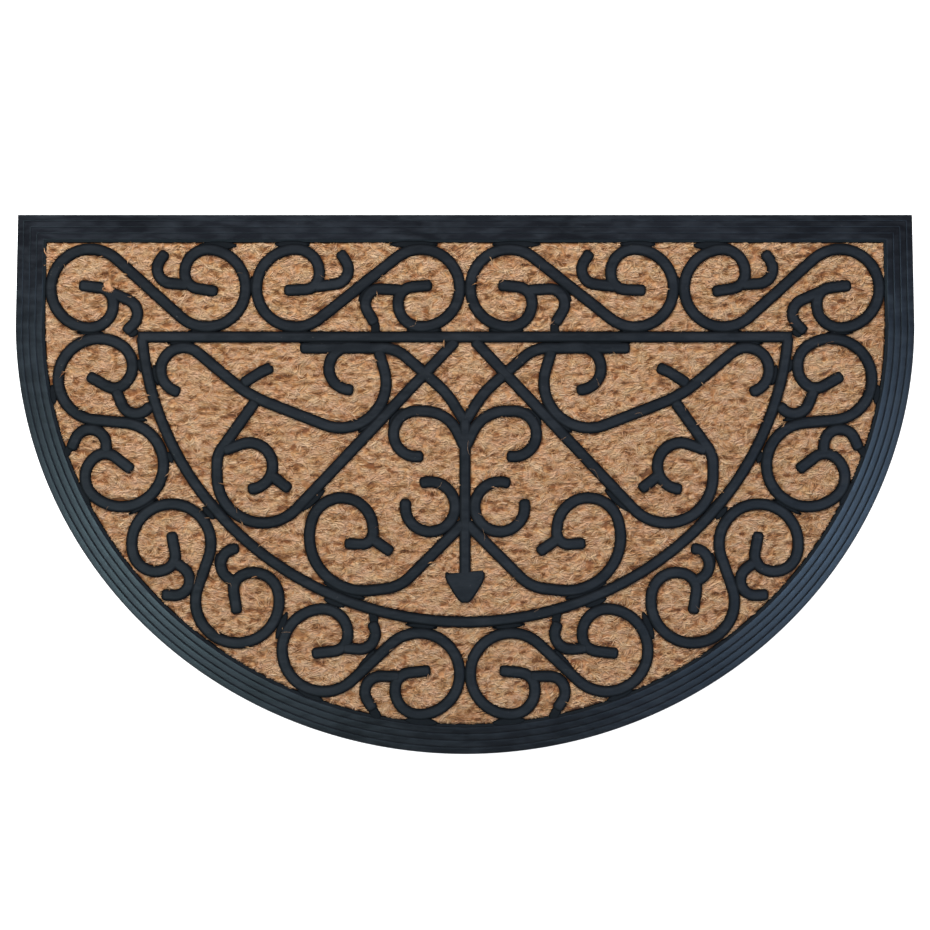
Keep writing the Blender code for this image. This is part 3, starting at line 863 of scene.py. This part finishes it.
class GroundMap:
    """Values on a 1 mm grid over the mat, for what has to be looked up by place."""

    CELL = 0.001

    def __init__(self):
        self.origin = np.array([-MAT_WIDTH / 2, -MAT_DEPTH / 2])
        self.values = np.zeros((round(MAT_WIDTH / self.CELL) + 1, round(MAT_DEPTH / self.CELL) + 1))

    def add_spot(self, x, y, reach_x, reach_y):
        """A soft oval spot that is 1 in its middle, kept where it is deeper than what is there."""
        column, row = (np.array([x, y]) - self.origin) / self.CELL
        wide, tall = ceil(2 * reach_x / self.CELL), ceil(2 * reach_y / self.CELL)
        columns = np.arange(max(0, int(column) - wide), min(self.values.shape[0], int(column) + wide + 2))
        rows = np.arange(max(0, int(row) - tall), min(self.values.shape[1], int(row) + tall + 2))
        if len(columns) == 0 or len(rows) == 0:
            return
        off_x = (columns[:, None] - column) * self.CELL / reach_x
        off_y = (rows - row) * self.CELL / reach_y
        patch = self.values[columns[0] : columns[-1] + 1, rows[0] : rows[-1] + 1]
        np.maximum(patch, np.exp(-SPOT_FALL * (off_x**2 + off_y**2)), out=patch)

    def at(self, x, y):
        """Values at places, smoothed between the cells."""
        column = np.clip((np.asarray(x) - self.origin[0]) / self.CELL, 0, self.values.shape[0] - 1.001)
        row = np.clip((np.asarray(y) - self.origin[1]) / self.CELL, 0, self.values.shape[1] - 1.001)
        c, r = column.astype(int), row.astype(int)
        u, v = column - c, row - r
        grid = self.values
        return (grid[c, r] * (1 - u) + grid[c + 1, r] * u) * (1 - v) + (
            grid[c, r + 1] * (1 - u) + grid[c + 1, r + 1] * u
        ) * v


def lip_line():
    """A line as far outside the coir panel's edge as a rib's middle is from its side."""
    half, depth = bow_size(PANEL_INSET - RIB_WIDTH / 2)
    top = PANEL_TOP_Y + RIB_WIDTH / 2
    bow = list(bow_line(half, depth, SHOULDER_Y, pi, 2 * pi, BOW_STEPS))
    return [*bow, (half, top), (-half, top), bow[0]]


def map_of_ribs():
    """How close the ribs and the lip are: 1 on their middle lines, and next to nothing beside them."""
    cover = GroundMap()
    lines = [with_cut_ends(line, RIB_WIDTH * COVER_END_CUT) for line in left_lines()]
    lines += [[(-x, y) for x, y in line] for line in lines]
    lines += [frame_bar(), frame_bow(), stem(), lip_line()]
    for line in lines:
        for (x0, y0), (x1, y1) in zip(line, line[1:]):
            steps = max(1, ceil(hypot(x1 - x0, y1 - y0) / COVER_STEP))
            for k in range(steps):
                x, y = x0 + (x1 - x0) * k / steps, y0 + (y1 - y0) * k / steps
                cover.add_spot(x, y, COVER_REACH, COVER_REACH)
    return cover


def gap_beside_ribs(cover, x, y):
    """The shadow gap along ribs and lip: 1 under them, 0 from about 1 mm beside them."""
    return np.clip((cover.at(x, y) - GAP_COVER) / GAP_RAMP, 0.0, 1.0)


def rubber_height(cover, x, y):
    """Height that a hair needs to lie over the rubber: the ribs' tops, and next to nothing beside them."""
    return RIB_TOP * np.clip((cover.at(x, y) - RUBBER_COVER) / RUBBER_RAMP, 0.0, 1.0) ** RUBBER_CURVE


def drift_at(drift, x, y, side=1):
    """Smooth noise at a place, or at one side of a thread."""
    place = Vector((x * drift.along_x, y * drift.along_y, side * drift.slice))
    return drift.strength * noise.noise(place)


def sway(x, y):
    """How far the lie of the matting wanders across its run at a place."""
    return drift_at(SLOW_SWAY, x, y) + drift_at(QUICK_SWAY, x, y)


def lie(x, y):
    """Direction of the matting's run at a place, in radians from X."""
    reach = 0.0015
    return -atan2(sway(x + reach, y) - sway(x - reach, y), 2 * reach)


def matted_height(x, y):
    """Rise and fall of the matting about the face's middle height, from -1 to 1 or so."""
    along, run = x / CLUMP_LENGTH, (y + sway(x, y)) / CLUMP_WIDTH
    fine = drift_at(BUNDLE_RELIEF, along, run) + drift_at(STRAND_RELIEF, along, run)
    return fine + drift_at(BROAD_RELIEF, x, y)


def weave_place(x, y):
    """A place in steps of the weave: warp threads across and weft threads up, both a little crooked."""
    across, up = x + drift_at(CROOKED_WARP, x, y), y + drift_at(CROOKED_WEFT, x, y)
    return across / WARP_PITCH, up / WEFT_PITCH


def float_at(x, y):
    """1 on the back of a weft float, -1 on a sunk crossing between two floats."""
    across, up = weave_place(x, y)
    return cos(pi * across) * cos(pi * up)


def hole_at(x, y):
    """How deep the weave's holes are at a place: one at each side of a crossing, some of them closed."""
    across, up = weave_place(x, y)
    row = round(up)
    column = 2 * round((across - row - 1) / 2) + row + 1
    off_x, off_y = (across - column) * WARP_PITCH, (up - row) * WEFT_PITCH
    side = 1 if off_x > 0 else -1
    opening = HOLE_MEAN_OPENING + drift_at(HOLE_OPENING, column, row, side)
    off_x = abs(off_x) - CROSSING_HALF_WIDTH + drift_at(HOLE_SHIFT_X, column, row, side)
    off_y += drift_at(HOLE_SHIFT_Y, column, row, side)
    far = (off_x / HOLE_HALF_LENGTH) ** 2 + (off_y / HOLE_HALF_HEIGHT) ** 2
    return max(0.0, min(1.0, opening)) * exp(-HOLE_FALL * far)


def map_of_holes():
    """The weave's holes on a grid, so that every fibre's corners can look them up."""
    holes = GroundMap()
    columns, rows = holes.values.shape
    for column in range(columns):
        for row in range(rows):
            x, y = holes.origin + GroundMap.CELL * np.array([column, row])
            holes.values[column, row] = hole_at(x, y)
    return holes


def panel_edge_below(x):
    """The coir panel's lower edge at a place along its width."""
    half, depth = bow_size(PANEL_INSET + PANEL_GAP)
    return SHOULDER_Y - depth * max(0.0, 1 - (x / half) ** 2) ** 0.5


def make_coir_face(material, clumps, cover):
    """The matted panel: a grid drawn to the half-round, raised and pitted, and turned down to a back."""
    half, top = MAT_WIDTH / 2 - PANEL_INSET - PANEL_GAP, PANEL_TOP_Y - PANEL_GAP
    work = bmesh.new()
    hollow = work.verts.layers.float.new("hollow")
    bmesh.ops.create_grid(work, x_segments=FACE_COLUMNS, y_segments=FACE_ROWS, size=1.0)
    for vert in work.verts:
        across, up = vert.co.x, (vert.co.y + 1) / 2
        x = half * sin(across * pi / 2) * 0.5 + half * across * 0.5
        low = panel_edge_below(x)
        vert.co = (x, low + (top - low) * up, 0.0)
    x, y = [vert.co.x for vert in work.verts], [vert.co.y for vert in work.verts]
    gap = gap_beside_ribs(cover, x, y)
    fullness = clumps.at(x, y) * (1 - gap)
    height = COIR_FACE + CLUMP_RISE * (fullness - CLUMP_FULL) - GAP_DEPTH * gap
    for vert, full, level in zip(work.verts, fullness, height):
        x, y = vert.co.x, vert.co.y
        hole = hole_at(x, y)
        # Hollow paints shade: in the gaps between clumps, in the shadow gap beside ribs and lip, and in the
        # weave's holes.
        vert[hollow] = min(1.0, 1.0 - float(full) + hole)
        raised = float(level) + RELIEF * matted_height(x, y) + FLOAT_RISE * float_at(x, y)
        vert.co.z = raised - HOLE_DEPTH * hole
    edge = [item for item in work.edges if len(item.link_faces) == 1]
    skirt = bmesh.ops.extrude_edge_only(work, edges=edge)["geom"]
    for vert in of_kind(BMVert, skirt):
        vert.co.z = COIR_UNDERSIDE
    hem = [item for item in of_kind(BMEdge, skirt) if len(item.link_faces) == 1]
    bmesh.ops.contextual_create(work, geom=hem)
    return finish_mesh("coir_face", work, material)


def in_panel(x, y):
    half, depth = bow_size(PANEL_INSET + 2 * PANEL_GAP)
    inside_bow = (x / half) ** 2 + (np.minimum(y - SHOULDER_Y, 0) / depth) ** 2 < 1
    return inside_bow & (y < PANEL_TOP_Y - 2 * PANEL_GAP)


Clump = namedtuple("Clump", "x y heading size shade")


def scatter_clumps(cover):
    """Clumps of matted fibre in staggered rows, painted paler on floats and darker on crossings as light and
    shade, and some of them turned on crossings.
    """
    chance = np.random.default_rng(CLUMP_SEED)
    clumps = []
    for row in range(round(MAT_DEPTH / CLUMP_WIDTH)):
        for column in range(round(MAT_WIDTH / CLUMP_LENGTH)):
            shake = chance.uniform(-CLUMP_SHAKE, CLUMP_SHAKE, 2)
            size = chance.lognormal(0, CLUMP_SIZE_SPREAD)
            shade = chance.beta(*CLUMP_SHADES) * (DARK_CLUMP_SHADE if chance.random() < DARK_CLUMPS else 1.0)
            turn = chance.normal(0, CLUMP_TURN_SPREAD)
            keep = chance.random()
            x = (column + shake[0] + 0.5 * (row % 2)) * CLUMP_LENGTH - MAT_WIDTH / 2
            y = (row + shake[1]) * CLUMP_WIDTH - MAT_DEPTH / 2
            raised = float_at(x, y)
            if raised < CROSSING_LEVEL and chance.random() < CROSSING_TURNED_SHARE:
                turn += pi / 2
            thinned = CLUMPS_KEPT - HOLE_THINNING * hole_at(x, y)
            if in_panel(x, y) and cover.at(x, y) < CLUMP_COVER_LIMIT and keep < thinned:
                clumps.append(Clump(x, y, lie(x, y) + turn, size, shade + FLOAT_SHADE * raised))
    for _ in range(TUFT.clumps):
        x = TUFT.x + chance.normal(0, TUFT.reach / 4)
        y = TUFT.y + chance.normal(0, TUFT.reach / 2)
        heading = TUFT.heading + chance.normal(0, TUFT.heading_spread)
        clumps.append(Clump(x, y, heading, TUFT.size, chance.uniform(0.0, TUFT.palest)))
    return clumps


def map_of_clumps(clumps):
    """How full the matting is at each place: 1 on a clump's back, 0 in the gaps between clumps."""
    fullness = GroundMap()
    for clump in clumps:
        dx, dy = cos(clump.heading), sin(clump.heading)
        for step in CLUMP_SPOTS:
            reach = step * CLUMP_LENGTH * clump.size
            fullness.add_spot(clump.x + reach * dx, clump.y + reach * dy, CLUMP_REACH_X, CLUMP_REACH_Y)
    return fullness


def spindle(rings):
    """A slim three-sided spindle: its corners' places along, beside and above its line, and its faces."""
    work = bmesh.new()
    bmesh.ops.create_uvsphere(work, u_segments=3, v_segments=rings, radius=1.0)
    corners = np.array([(vert.co.z, vert.co.x, vert.co.y) for vert in work.verts]).T
    faces = [[vert.index for vert in face.verts] for face in work.faces]
    work.free()
    return corners, faces


def laid_down(x, y, heading, reach, side):
    """Places of bent fibres' corners, from how far along and beside each fibre's middle they lie."""
    run, rise = np.cos(heading)[:, None], np.sin(heading)[:, None]
    return x[:, None] + reach * run - side * rise, y[:, None] + reach * rise + side * run


def make_fibres(name, seed, clumps, cover, holes, material):
    """Every clump's fibres: each a copy of one spindle, bent, turned and laid over the clump's back."""
    chance = np.random.default_rng(seed)
    table = np.repeat(np.array(clumps), FIBRES_IN_CLUMP, axis=0)
    count = len(table)
    middle_x, middle_y, lay, size, clump_shade = table.T
    across = chance.normal(0, FIBRE_ACROSS, count) * CLUMP_WIDTH
    along = chance.normal(0, FIBRE_ALONG, count) * CLUMP_LENGTH
    heading = lay + chance.normal(0, FIBRE_TURN, count)
    loose = chance.random(count) < LOOSE_SHARE
    heading[loose] += chance.uniform(-LOOSE_TURN, LOOSE_TURN, loose.sum())
    each = (count, 1)
    length = FIBRE_LENGTH * size[:, None] * chance.lognormal(0, FIBRE_LENGTH_SPREAD, each)
    bend = chance.normal(0, FIBRE_BEND, each)
    thick = FIBRE_RADIUS * np.minimum(chance.lognormal(0, FIBRE_RADIUS_SPREAD, each), FIBRE_THICKEST)
    x = middle_x + along * np.cos(lay) - across * np.sin(lay)
    y = middle_y + along * np.sin(lay) + across * np.cos(lay)
    (run, beside, above), faces = spindle(FIBRE_RINGS)
    side = beside * thick + bend * length * (1 - run**2)
    px, py = laid_down(x, y, heading, run * length / 2, side)
    dome = CLUMP_RISE * (DOME_TOP - np.minimum(1.0, (across / CLUMP_WIDTH / DOME_REACH) ** 2))
    dome = dome[:, None] - FIBRE_DIP * run**2
    hole = holes.at(px, py)
    ground = RELIEF * np.array([matted_height(a, b) for a, b in zip(x, y)])
    ground += FLOAT_RISE * np.array([float_at(a, b) for a, b in zip(x, y)])
    lift = FIBRE_LIFT + chance.uniform(-FIBRE_LIFT_SPREAD, FIBRE_LIFT_SPREAD, each)
    pz = COIR_FACE + ground[:, None] + dome + lift + FIBRE_FLATNESS * above * thick
    pz -= HOLE_DEPTH * hole + GAP_DEPTH * FIBRE_GAP_SHARE * gap_beside_ribs(cover, px, py)
    tuft = np.hypot(x - TUFT.x, y - TUFT.y) < TUFT.reach
    fringe = tuft | (chance.random(count) < FRINGE_SHARE)
    over = rubber_height(cover, px, py) + (above + FRINGE_LIFT) * thick
    pz[fringe] = np.maximum(pz[fringe], over[fringe])
    own_shade = (1 - OWN_SHADE_SHARE) * clump_shade + OWN_SHADE_SHARE * chance.beta(*FIBRE_SHADES, count)
    own_shade[chance.random(count) < DARK_SHARE] *= DARK_FIBRE_SHADE
    own_shade = MEAN_SHADE + SHADE_SPREAD * (own_shade - MEAN_SHADE) - FRINGE_SHADE * fringe
    # Painted shade: fibres darken over the weave's holes.
    shade = np.clip(own_shade[:, None] - HOLE_SHADE * hole, DEEPEST_SHADE, 1.0)
    open_ground = tuft | (cover.at(x, y) < chance.uniform(*FIBRE_COVER_LIMITS, count))
    places = np.stack([px, py, pz], axis=2)
    return mesh_of_copies(name, places[open_ground], faces, shade[open_ground], material)


def make_hairs(cover, material):
    """Long loose hairs of coir that lie over the matting and the edges of the rubber."""
    chance = np.random.default_rng(HAIR_SEED)
    x = chance.uniform(-HAIR_REACH_X, HAIR_REACH_X, 3 * HAIRS)
    y = chance.uniform(-HAIR_REACH_Y, HAIR_REACH_Y, 3 * HAIRS)
    near, on_rib = HAIR_COVER_LIMITS
    beside = (cover.at(x, y) > near) & (cover.at(x, y) < on_rib)
    good = in_panel(x * HAIR_MARGIN, y * HAIR_MARGIN) & beside
    x, y = x[good][:HAIRS], y[good][:HAIRS]
    count = len(x)
    heading = chance.uniform(0, pi, count)
    each = (count, 1)
    length = HAIR_LENGTH * chance.lognormal(0, HAIR_LENGTH_SPREAD, each)
    bend = chance.normal(0, HAIR_BEND, each)
    wave = chance.normal(0, HAIR_WAVE, each)
    (run, beside, above), faces = spindle(HAIR_RINGS)
    side = beside * HAIR_RADIUS + length * (bend * (1 - run**2) + wave * np.sin(run * HAIR_WAVES))
    px, py = laid_down(x, y, heading, run * length / 2, side)
    pz = np.maximum(COIR_FACE + CLUMP_RISE, rubber_height(cover, px, py)) + (above + 1) * HAIR_RADIUS
    shade = chance.uniform(0.0, HAIR_PALEST, each)
    return mesh_of_copies("coir_hairs", np.stack([px, py, pz], axis=2), faces, shade, material)


def mesh_of_copies(name, places, faces, shade, material):
    """One mesh from many copies of a shape, from each copy's corners and the shade at each of them."""
    count, size = places.shape[:2]
    loops = np.concatenate(faces)
    sizes = [len(face) for face in faces]
    starts = np.concatenate([[0], np.cumsum(sizes)[:-1]])
    copy_number = np.arange(count)[:, None]
    corner_numbers = copy_number * size + loops
    loop_starts = copy_number * len(loops) + starts
    mesh = bpy.data.meshes.new(name)
    mesh.vertices.add(count * size)
    mesh.loops.add(count * len(loops))
    mesh.polygons.add(count * len(faces))
    mesh.vertices.foreach_set("co", places.astype(np.float32).ravel())
    mesh.loops.foreach_set("vertex_index", corner_numbers.astype(np.int32).ravel())
    mesh.polygons.foreach_set("loop_start", loop_starts.astype(np.int32).ravel())
    tone = mesh.attributes.new("shade", "FLOAT", "POINT")
    tone.data.foreach_set("value", np.broadcast_to(shade, (count, size)).astype(np.float32).ravel())
    mesh.update(calc_edges=True)
    mesh.validate()
    mesh.shade_smooth()
    mesh.materials.append(material)
    return place_object(name, mesh)


# Materials


def new_material(name):
    material = bpy.data.materials.new(name)
    material.use_nodes = True
    tree = material.node_tree
    return material, tree, tree.nodes["Principled BSDF"]


def feed(tree, node, inputs):
    """Links sockets to a node's inputs, and sets other inputs to plain numbers and colours."""
    for name, value in inputs.items():
        if isinstance(value, bpy.types.NodeSocket):
            tree.links.new(value, node.inputs[name])
        else:
            node.inputs[name].default_value = (*value, 1.0) if isinstance(value, tuple) else value


def add(tree, kind, inputs, **settings):
    """A node with its settings and its inputs."""
    node = tree.nodes.new(kind)
    for key, value in settings.items():
        setattr(node, key, value)
    feed(tree, node, inputs)
    return node


def attribute(tree, name):
    return add(tree, "ShaderNodeAttribute", {}, attribute_name=name).outputs["Fac"]


def mixed(tree, factor, first, second):
    """A colour mix whose factor and sides are sockets or plain values."""
    return add(tree, "ShaderNodeMix", {0: factor, 6: first, 7: second}, data_type="RGBA").outputs[2]


def maths(tree, operation, first, second):
    return add(tree, "ShaderNodeMath", {0: first, 1: second}, operation=operation).outputs[0]


def colour_ramp(tree, stops, factor):
    node = add(tree, "ShaderNodeValToRGB", {"Fac": factor})
    ramp = node.color_ramp
    while len(ramp.elements) < len(stops):
        ramp.elements.new(0.5)
    for element, stop in zip(ramp.elements, stops):
        element.position = stop.place
        element.color = (*stop.colour, 1.0)
    return node.outputs["Color"]


def new_group(name, inputs, outputs):
    group = bpy.data.node_groups.new(name, "ShaderNodeTree")
    for label, kind, value in inputs:
        socket = group.interface.new_socket(name=label, in_out="INPUT", socket_type=kind)
        socket.default_value = value
    for label, kind in outputs:
        group.interface.new_socket(name=label, in_out="OUTPUT", socket_type=kind)
    return group, group.nodes.new("NodeGroupInput"), group.nodes.new("NodeGroupOutput")


def stretched_noise_group():
    """Noise on object coordinates, stretched along X, as a value from 0 to 1."""
    inputs = [(label, "NodeSocketFloat", value) for label, value in PLAIN._asdict().items()]
    group, start, end = new_group("stretched_noise", inputs, [("Value", "NodeSocketFloat")])
    place = add(group, "ShaderNodeTexCoord", {}).outputs["Object"]
    split = add(group, "ShaderNodeSeparateXYZ", {"Vector": place}).outputs
    narrow = maths(group, "DIVIDE", split["X"], start.outputs["Stretch"])
    shift = maths(group, "ADD", split["Z"], start.outputs["Offset"])
    vector = add(group, "ShaderNodeCombineXYZ", {"X": narrow, "Y": split["Y"], "Z": shift}).outputs["Vector"]
    detail = {"Detail": 3.0, "Roughness": 0.6, "Distortion": 0.3}
    cloud = add(group, "ShaderNodeTexNoise", {"Vector": vector, "Scale": start.outputs["Scale"], **detail})
    limits = {"From Min": start.outputs["Low"], "From Max": start.outputs["High"]}
    spread = add(group, "ShaderNodeMapRange", {"Value": cloud.outputs["Fac"], **limits})
    feed(group, end, {"Value": spread.outputs["Result"]})
    return group


def noise_value(tree, noise_group, grain):
    return add(tree, "ShaderNodeGroup", grain._asdict(), node_tree=noise_group).outputs["Value"]


def rubber_material(name, noise_group, finish):
    """Black moulded rubber with a blue cast, rubbed satin on its crests and painted shade on its flanks,
    grooves and lip, with dust, specks and fine grain.
    """
    material, tree, shader = new_material(name)
    crest_light_and_wear = attribute(tree, "crest_light_and_wear")
    cloud = noise_value(tree, noise_group, RUBBER_CLOUD)
    streak = noise_value(tree, noise_group, RUBBER_STREAK)
    speck = noise_value(tree, noise_group, RUBBER_SPECK)
    flat = mixed(tree, cloud, finish.dull, finish.pale)
    # Painted shade: a low share of crest light and wear darkens flanks, grooves and lip to the edge colour.
    shaded_base = mixed(tree, crest_light_and_wear, finish.edge, flat)
    light_and_wear_level = maths(tree, "MULTIPLY", crest_light_and_wear, maths(tree, "MULTIPLY", streak, STREAK_WEAR))
    rubbed = mixed(tree, light_and_wear_level, shaded_base, finish.rubbed)
    dusty = mixed(tree, maths(tree, "MULTIPLY", speck, finish.dust), rubbed, DUST)
    smoothed = maths(tree, "MULTIPLY", crest_light_and_wear, GROOVE_ROUGHNESS)
    rough = maths(tree, "SUBTRACT", finish.roughness + GROOVE_ROUGHNESS, smoothed)
    place = add(tree, "ShaderNodeTexCoord", {}).outputs["Object"]
    grain = add(tree, "ShaderNodeTexNoise", {"Vector": place, "Scale": 1500.0, "Detail": 2.0}).outputs["Fac"]
    bump = add(tree, "ShaderNodeBump", {"Height": grain, "Strength": 0.25, "Distance": 0.0002})
    looks = {
        "Base Color": dusty,
        "Roughness": maths(tree, "ADD", rough, maths(tree, "MULTIPLY", streak, STREAK_ROUGHNESS)),
        "Specular IOR Level": finish.gloss,
        "Normal": bump.outputs["Normal"],
    }
    feed(tree, shader, looks)
    return material


def coir_tones_group(noise_group):
    """Colour of coir by its shade, from rust brown to straw, with dark dashes and warmer patches."""
    inputs = [("Shade", "NodeSocketFloat", 0.5)]
    group, start, end = new_group("coir_tones", inputs, [("Color", "NodeSocketColor")])
    patch = noise_value(group, noise_group, COIR_PATCH)
    hue = noise_value(group, noise_group, COIR_HUE)
    dash = noise_value(group, noise_group, COIR_DASH)
    grown = maths(group, "MULTIPLY", start.outputs["Shade"], SHADE_SHARE)
    worked = maths(group, "MULTIPLY", maths(group, "SUBTRACT", patch, PATCH_MEAN), PATCH_SHARE)
    patched = maths(group, "ADD", grown, worked)
    tone = maths(group, "ADD", patched, maths(group, "MULTIPLY", dash, DASH_SHARE))
    rust, straw = colour_ramp(group, RUST, tone), colour_ramp(group, STRAW, tone)
    feed(group, end, {"Color": mixed(group, hue, rust, straw)})
    return group


def coir_face_material(noise_group, tones_group):
    """The ground of the matting: its fibres' tones, painted darker as the shade under the fibres, and darker
    again in the gaps between clumps, beside the ribs and lip, and in the holes.
    """
    material, tree, shader = new_material("matted_coir")
    limits = {"From Min": HOLLOW_FROM, "From Max": 1.0}
    deep = add(tree, "ShaderNodeMapRange", {"Value": attribute(tree, "hollow"), **limits}).outputs["Result"]
    shade = maths(tree, "SUBTRACT", FACE_SHADE, maths(tree, "MULTIPLY", deep, HOLLOW_SHADE))
    tones = add(tree, "ShaderNodeGroup", {"Shade": shade}, node_tree=tones_group)
    strand = noise_value(tree, noise_group, COIR_STRAND)
    bump = add(tree, "ShaderNodeBump", {"Height": strand, "Strength": 0.6, "Distance": 0.0004})
    looks = {
        "Base Color": tones.outputs["Color"],
        "Roughness": 0.85,
        "Specular IOR Level": 0.2,
        "Normal": bump.outputs["Normal"],
    }
    feed(tree, shader, looks)
    return material


def coir_fibre_material(tones_group):
    """Single coir fibres, each with its own shade."""
    material, tree, shader = new_material("coir_fibre")
    tones = add(tree, "ShaderNodeGroup", {"Shade": attribute(tree, "shade")}, node_tree=tones_group)
    looks = {"Base Color": tones.outputs["Color"], "Roughness": 0.7, "Specular IOR Level": 0.2}
    feed(tree, shader, looks)
    return material


# Stage


def make_floor():
    work = bmesh.new()
    bmesh.ops.create_grid(work, x_segments=1, y_segments=1, size=FLOOR_REACH)
    material, tree, shader = new_material("pale_floor")
    feed(tree, shader, {"Base Color": FLOOR_COLOUR, "Roughness": FLOOR_ROUGHNESS})
    feed(tree, shader, {"Emission Color": FLOOR_GLOW, "Emission Strength": FLOOR_GLOW_STRENGTH})
    finish_mesh("floor", work, material)


def make_light(light):
    """A square light that looks at the middle of the mat."""
    lamp = bpy.data.lights.new(light.name, "AREA")
    lamp.shape = "RECTANGLE"
    lamp.size = lamp.size_y = light.size
    lamp.energy = light.power
    lamp.color = light.colour
    piece = place_object(light.name, lamp)
    piece.location = light.place
    piece.rotation_mode = "QUATERNION"
    piece.rotation_quaternion = (-Vector(light.place)).to_track_quat("-Z", "Y")
    return piece


def make_lights():
    world = bpy.data.worlds.new("studio")
    world.use_nodes = True
    feed(world.node_tree, world.node_tree.nodes["Background"], {"Color": SKY, "Strength": SKY_STRENGTH})
    bpy.context.scene.world = world
    make_light(KEY).visible_glossy = False
    for window in WINDOWS:
        make_light(window).visible_diffuse = False


def make_camera():
    lens = bpy.data.cameras.new("camera")
    lens.type = "PERSP"
    lens.sensor_width = SENSOR
    lens.lens = LENS
    camera = place_object("camera", lens)
    camera.location = (0.0, PHOTO_CENTRE_Y, PHOTO_SPAN * LENS / SENSOR)
    bpy.context.scene.camera = camera
    bpy.context.scene.view_settings.view_transform = "Standard"


def main():
    noise_group = stretched_noise_group()
    rim_rubber = rubber_material("rim_rubber", noise_group, RIM_FINISH)
    rib_rubber = rubber_material("rib_rubber", noise_group, RIB_FINISH)
    tones_group = coir_tones_group(noise_group)
    matted_coir = coir_face_material(noise_group, tones_group)
    loose_coir = coir_fibre_material(tones_group)

    tray = make_tray(rim_rubber)
    scrollwork = make_scrollwork(rib_rubber)
    for piece in (tray, scrollwork):
        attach(piece, "root")
        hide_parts("rubber_mat")

    cover, holes = map_of_ribs(), map_of_holes()
    clumps = scatter_clumps(cover)
    face = make_coir_face(matted_coir, map_of_clumps(clumps), cover)
    fibres = [
        make_fibres(f"coir_fibres_{k}", FIBRE_SEED + k, clumps[k::FIBRE_SETS], cover, holes, loose_coir)
        for k in range(FIBRE_SETS)
    ]
    fibres.append(make_hairs(cover, loose_coir))
    for piece in (face, *fibres):
        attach(piece, "root")
    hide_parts("coir_matting")

    make_floor()
    make_lights()
    make_camera()


main()
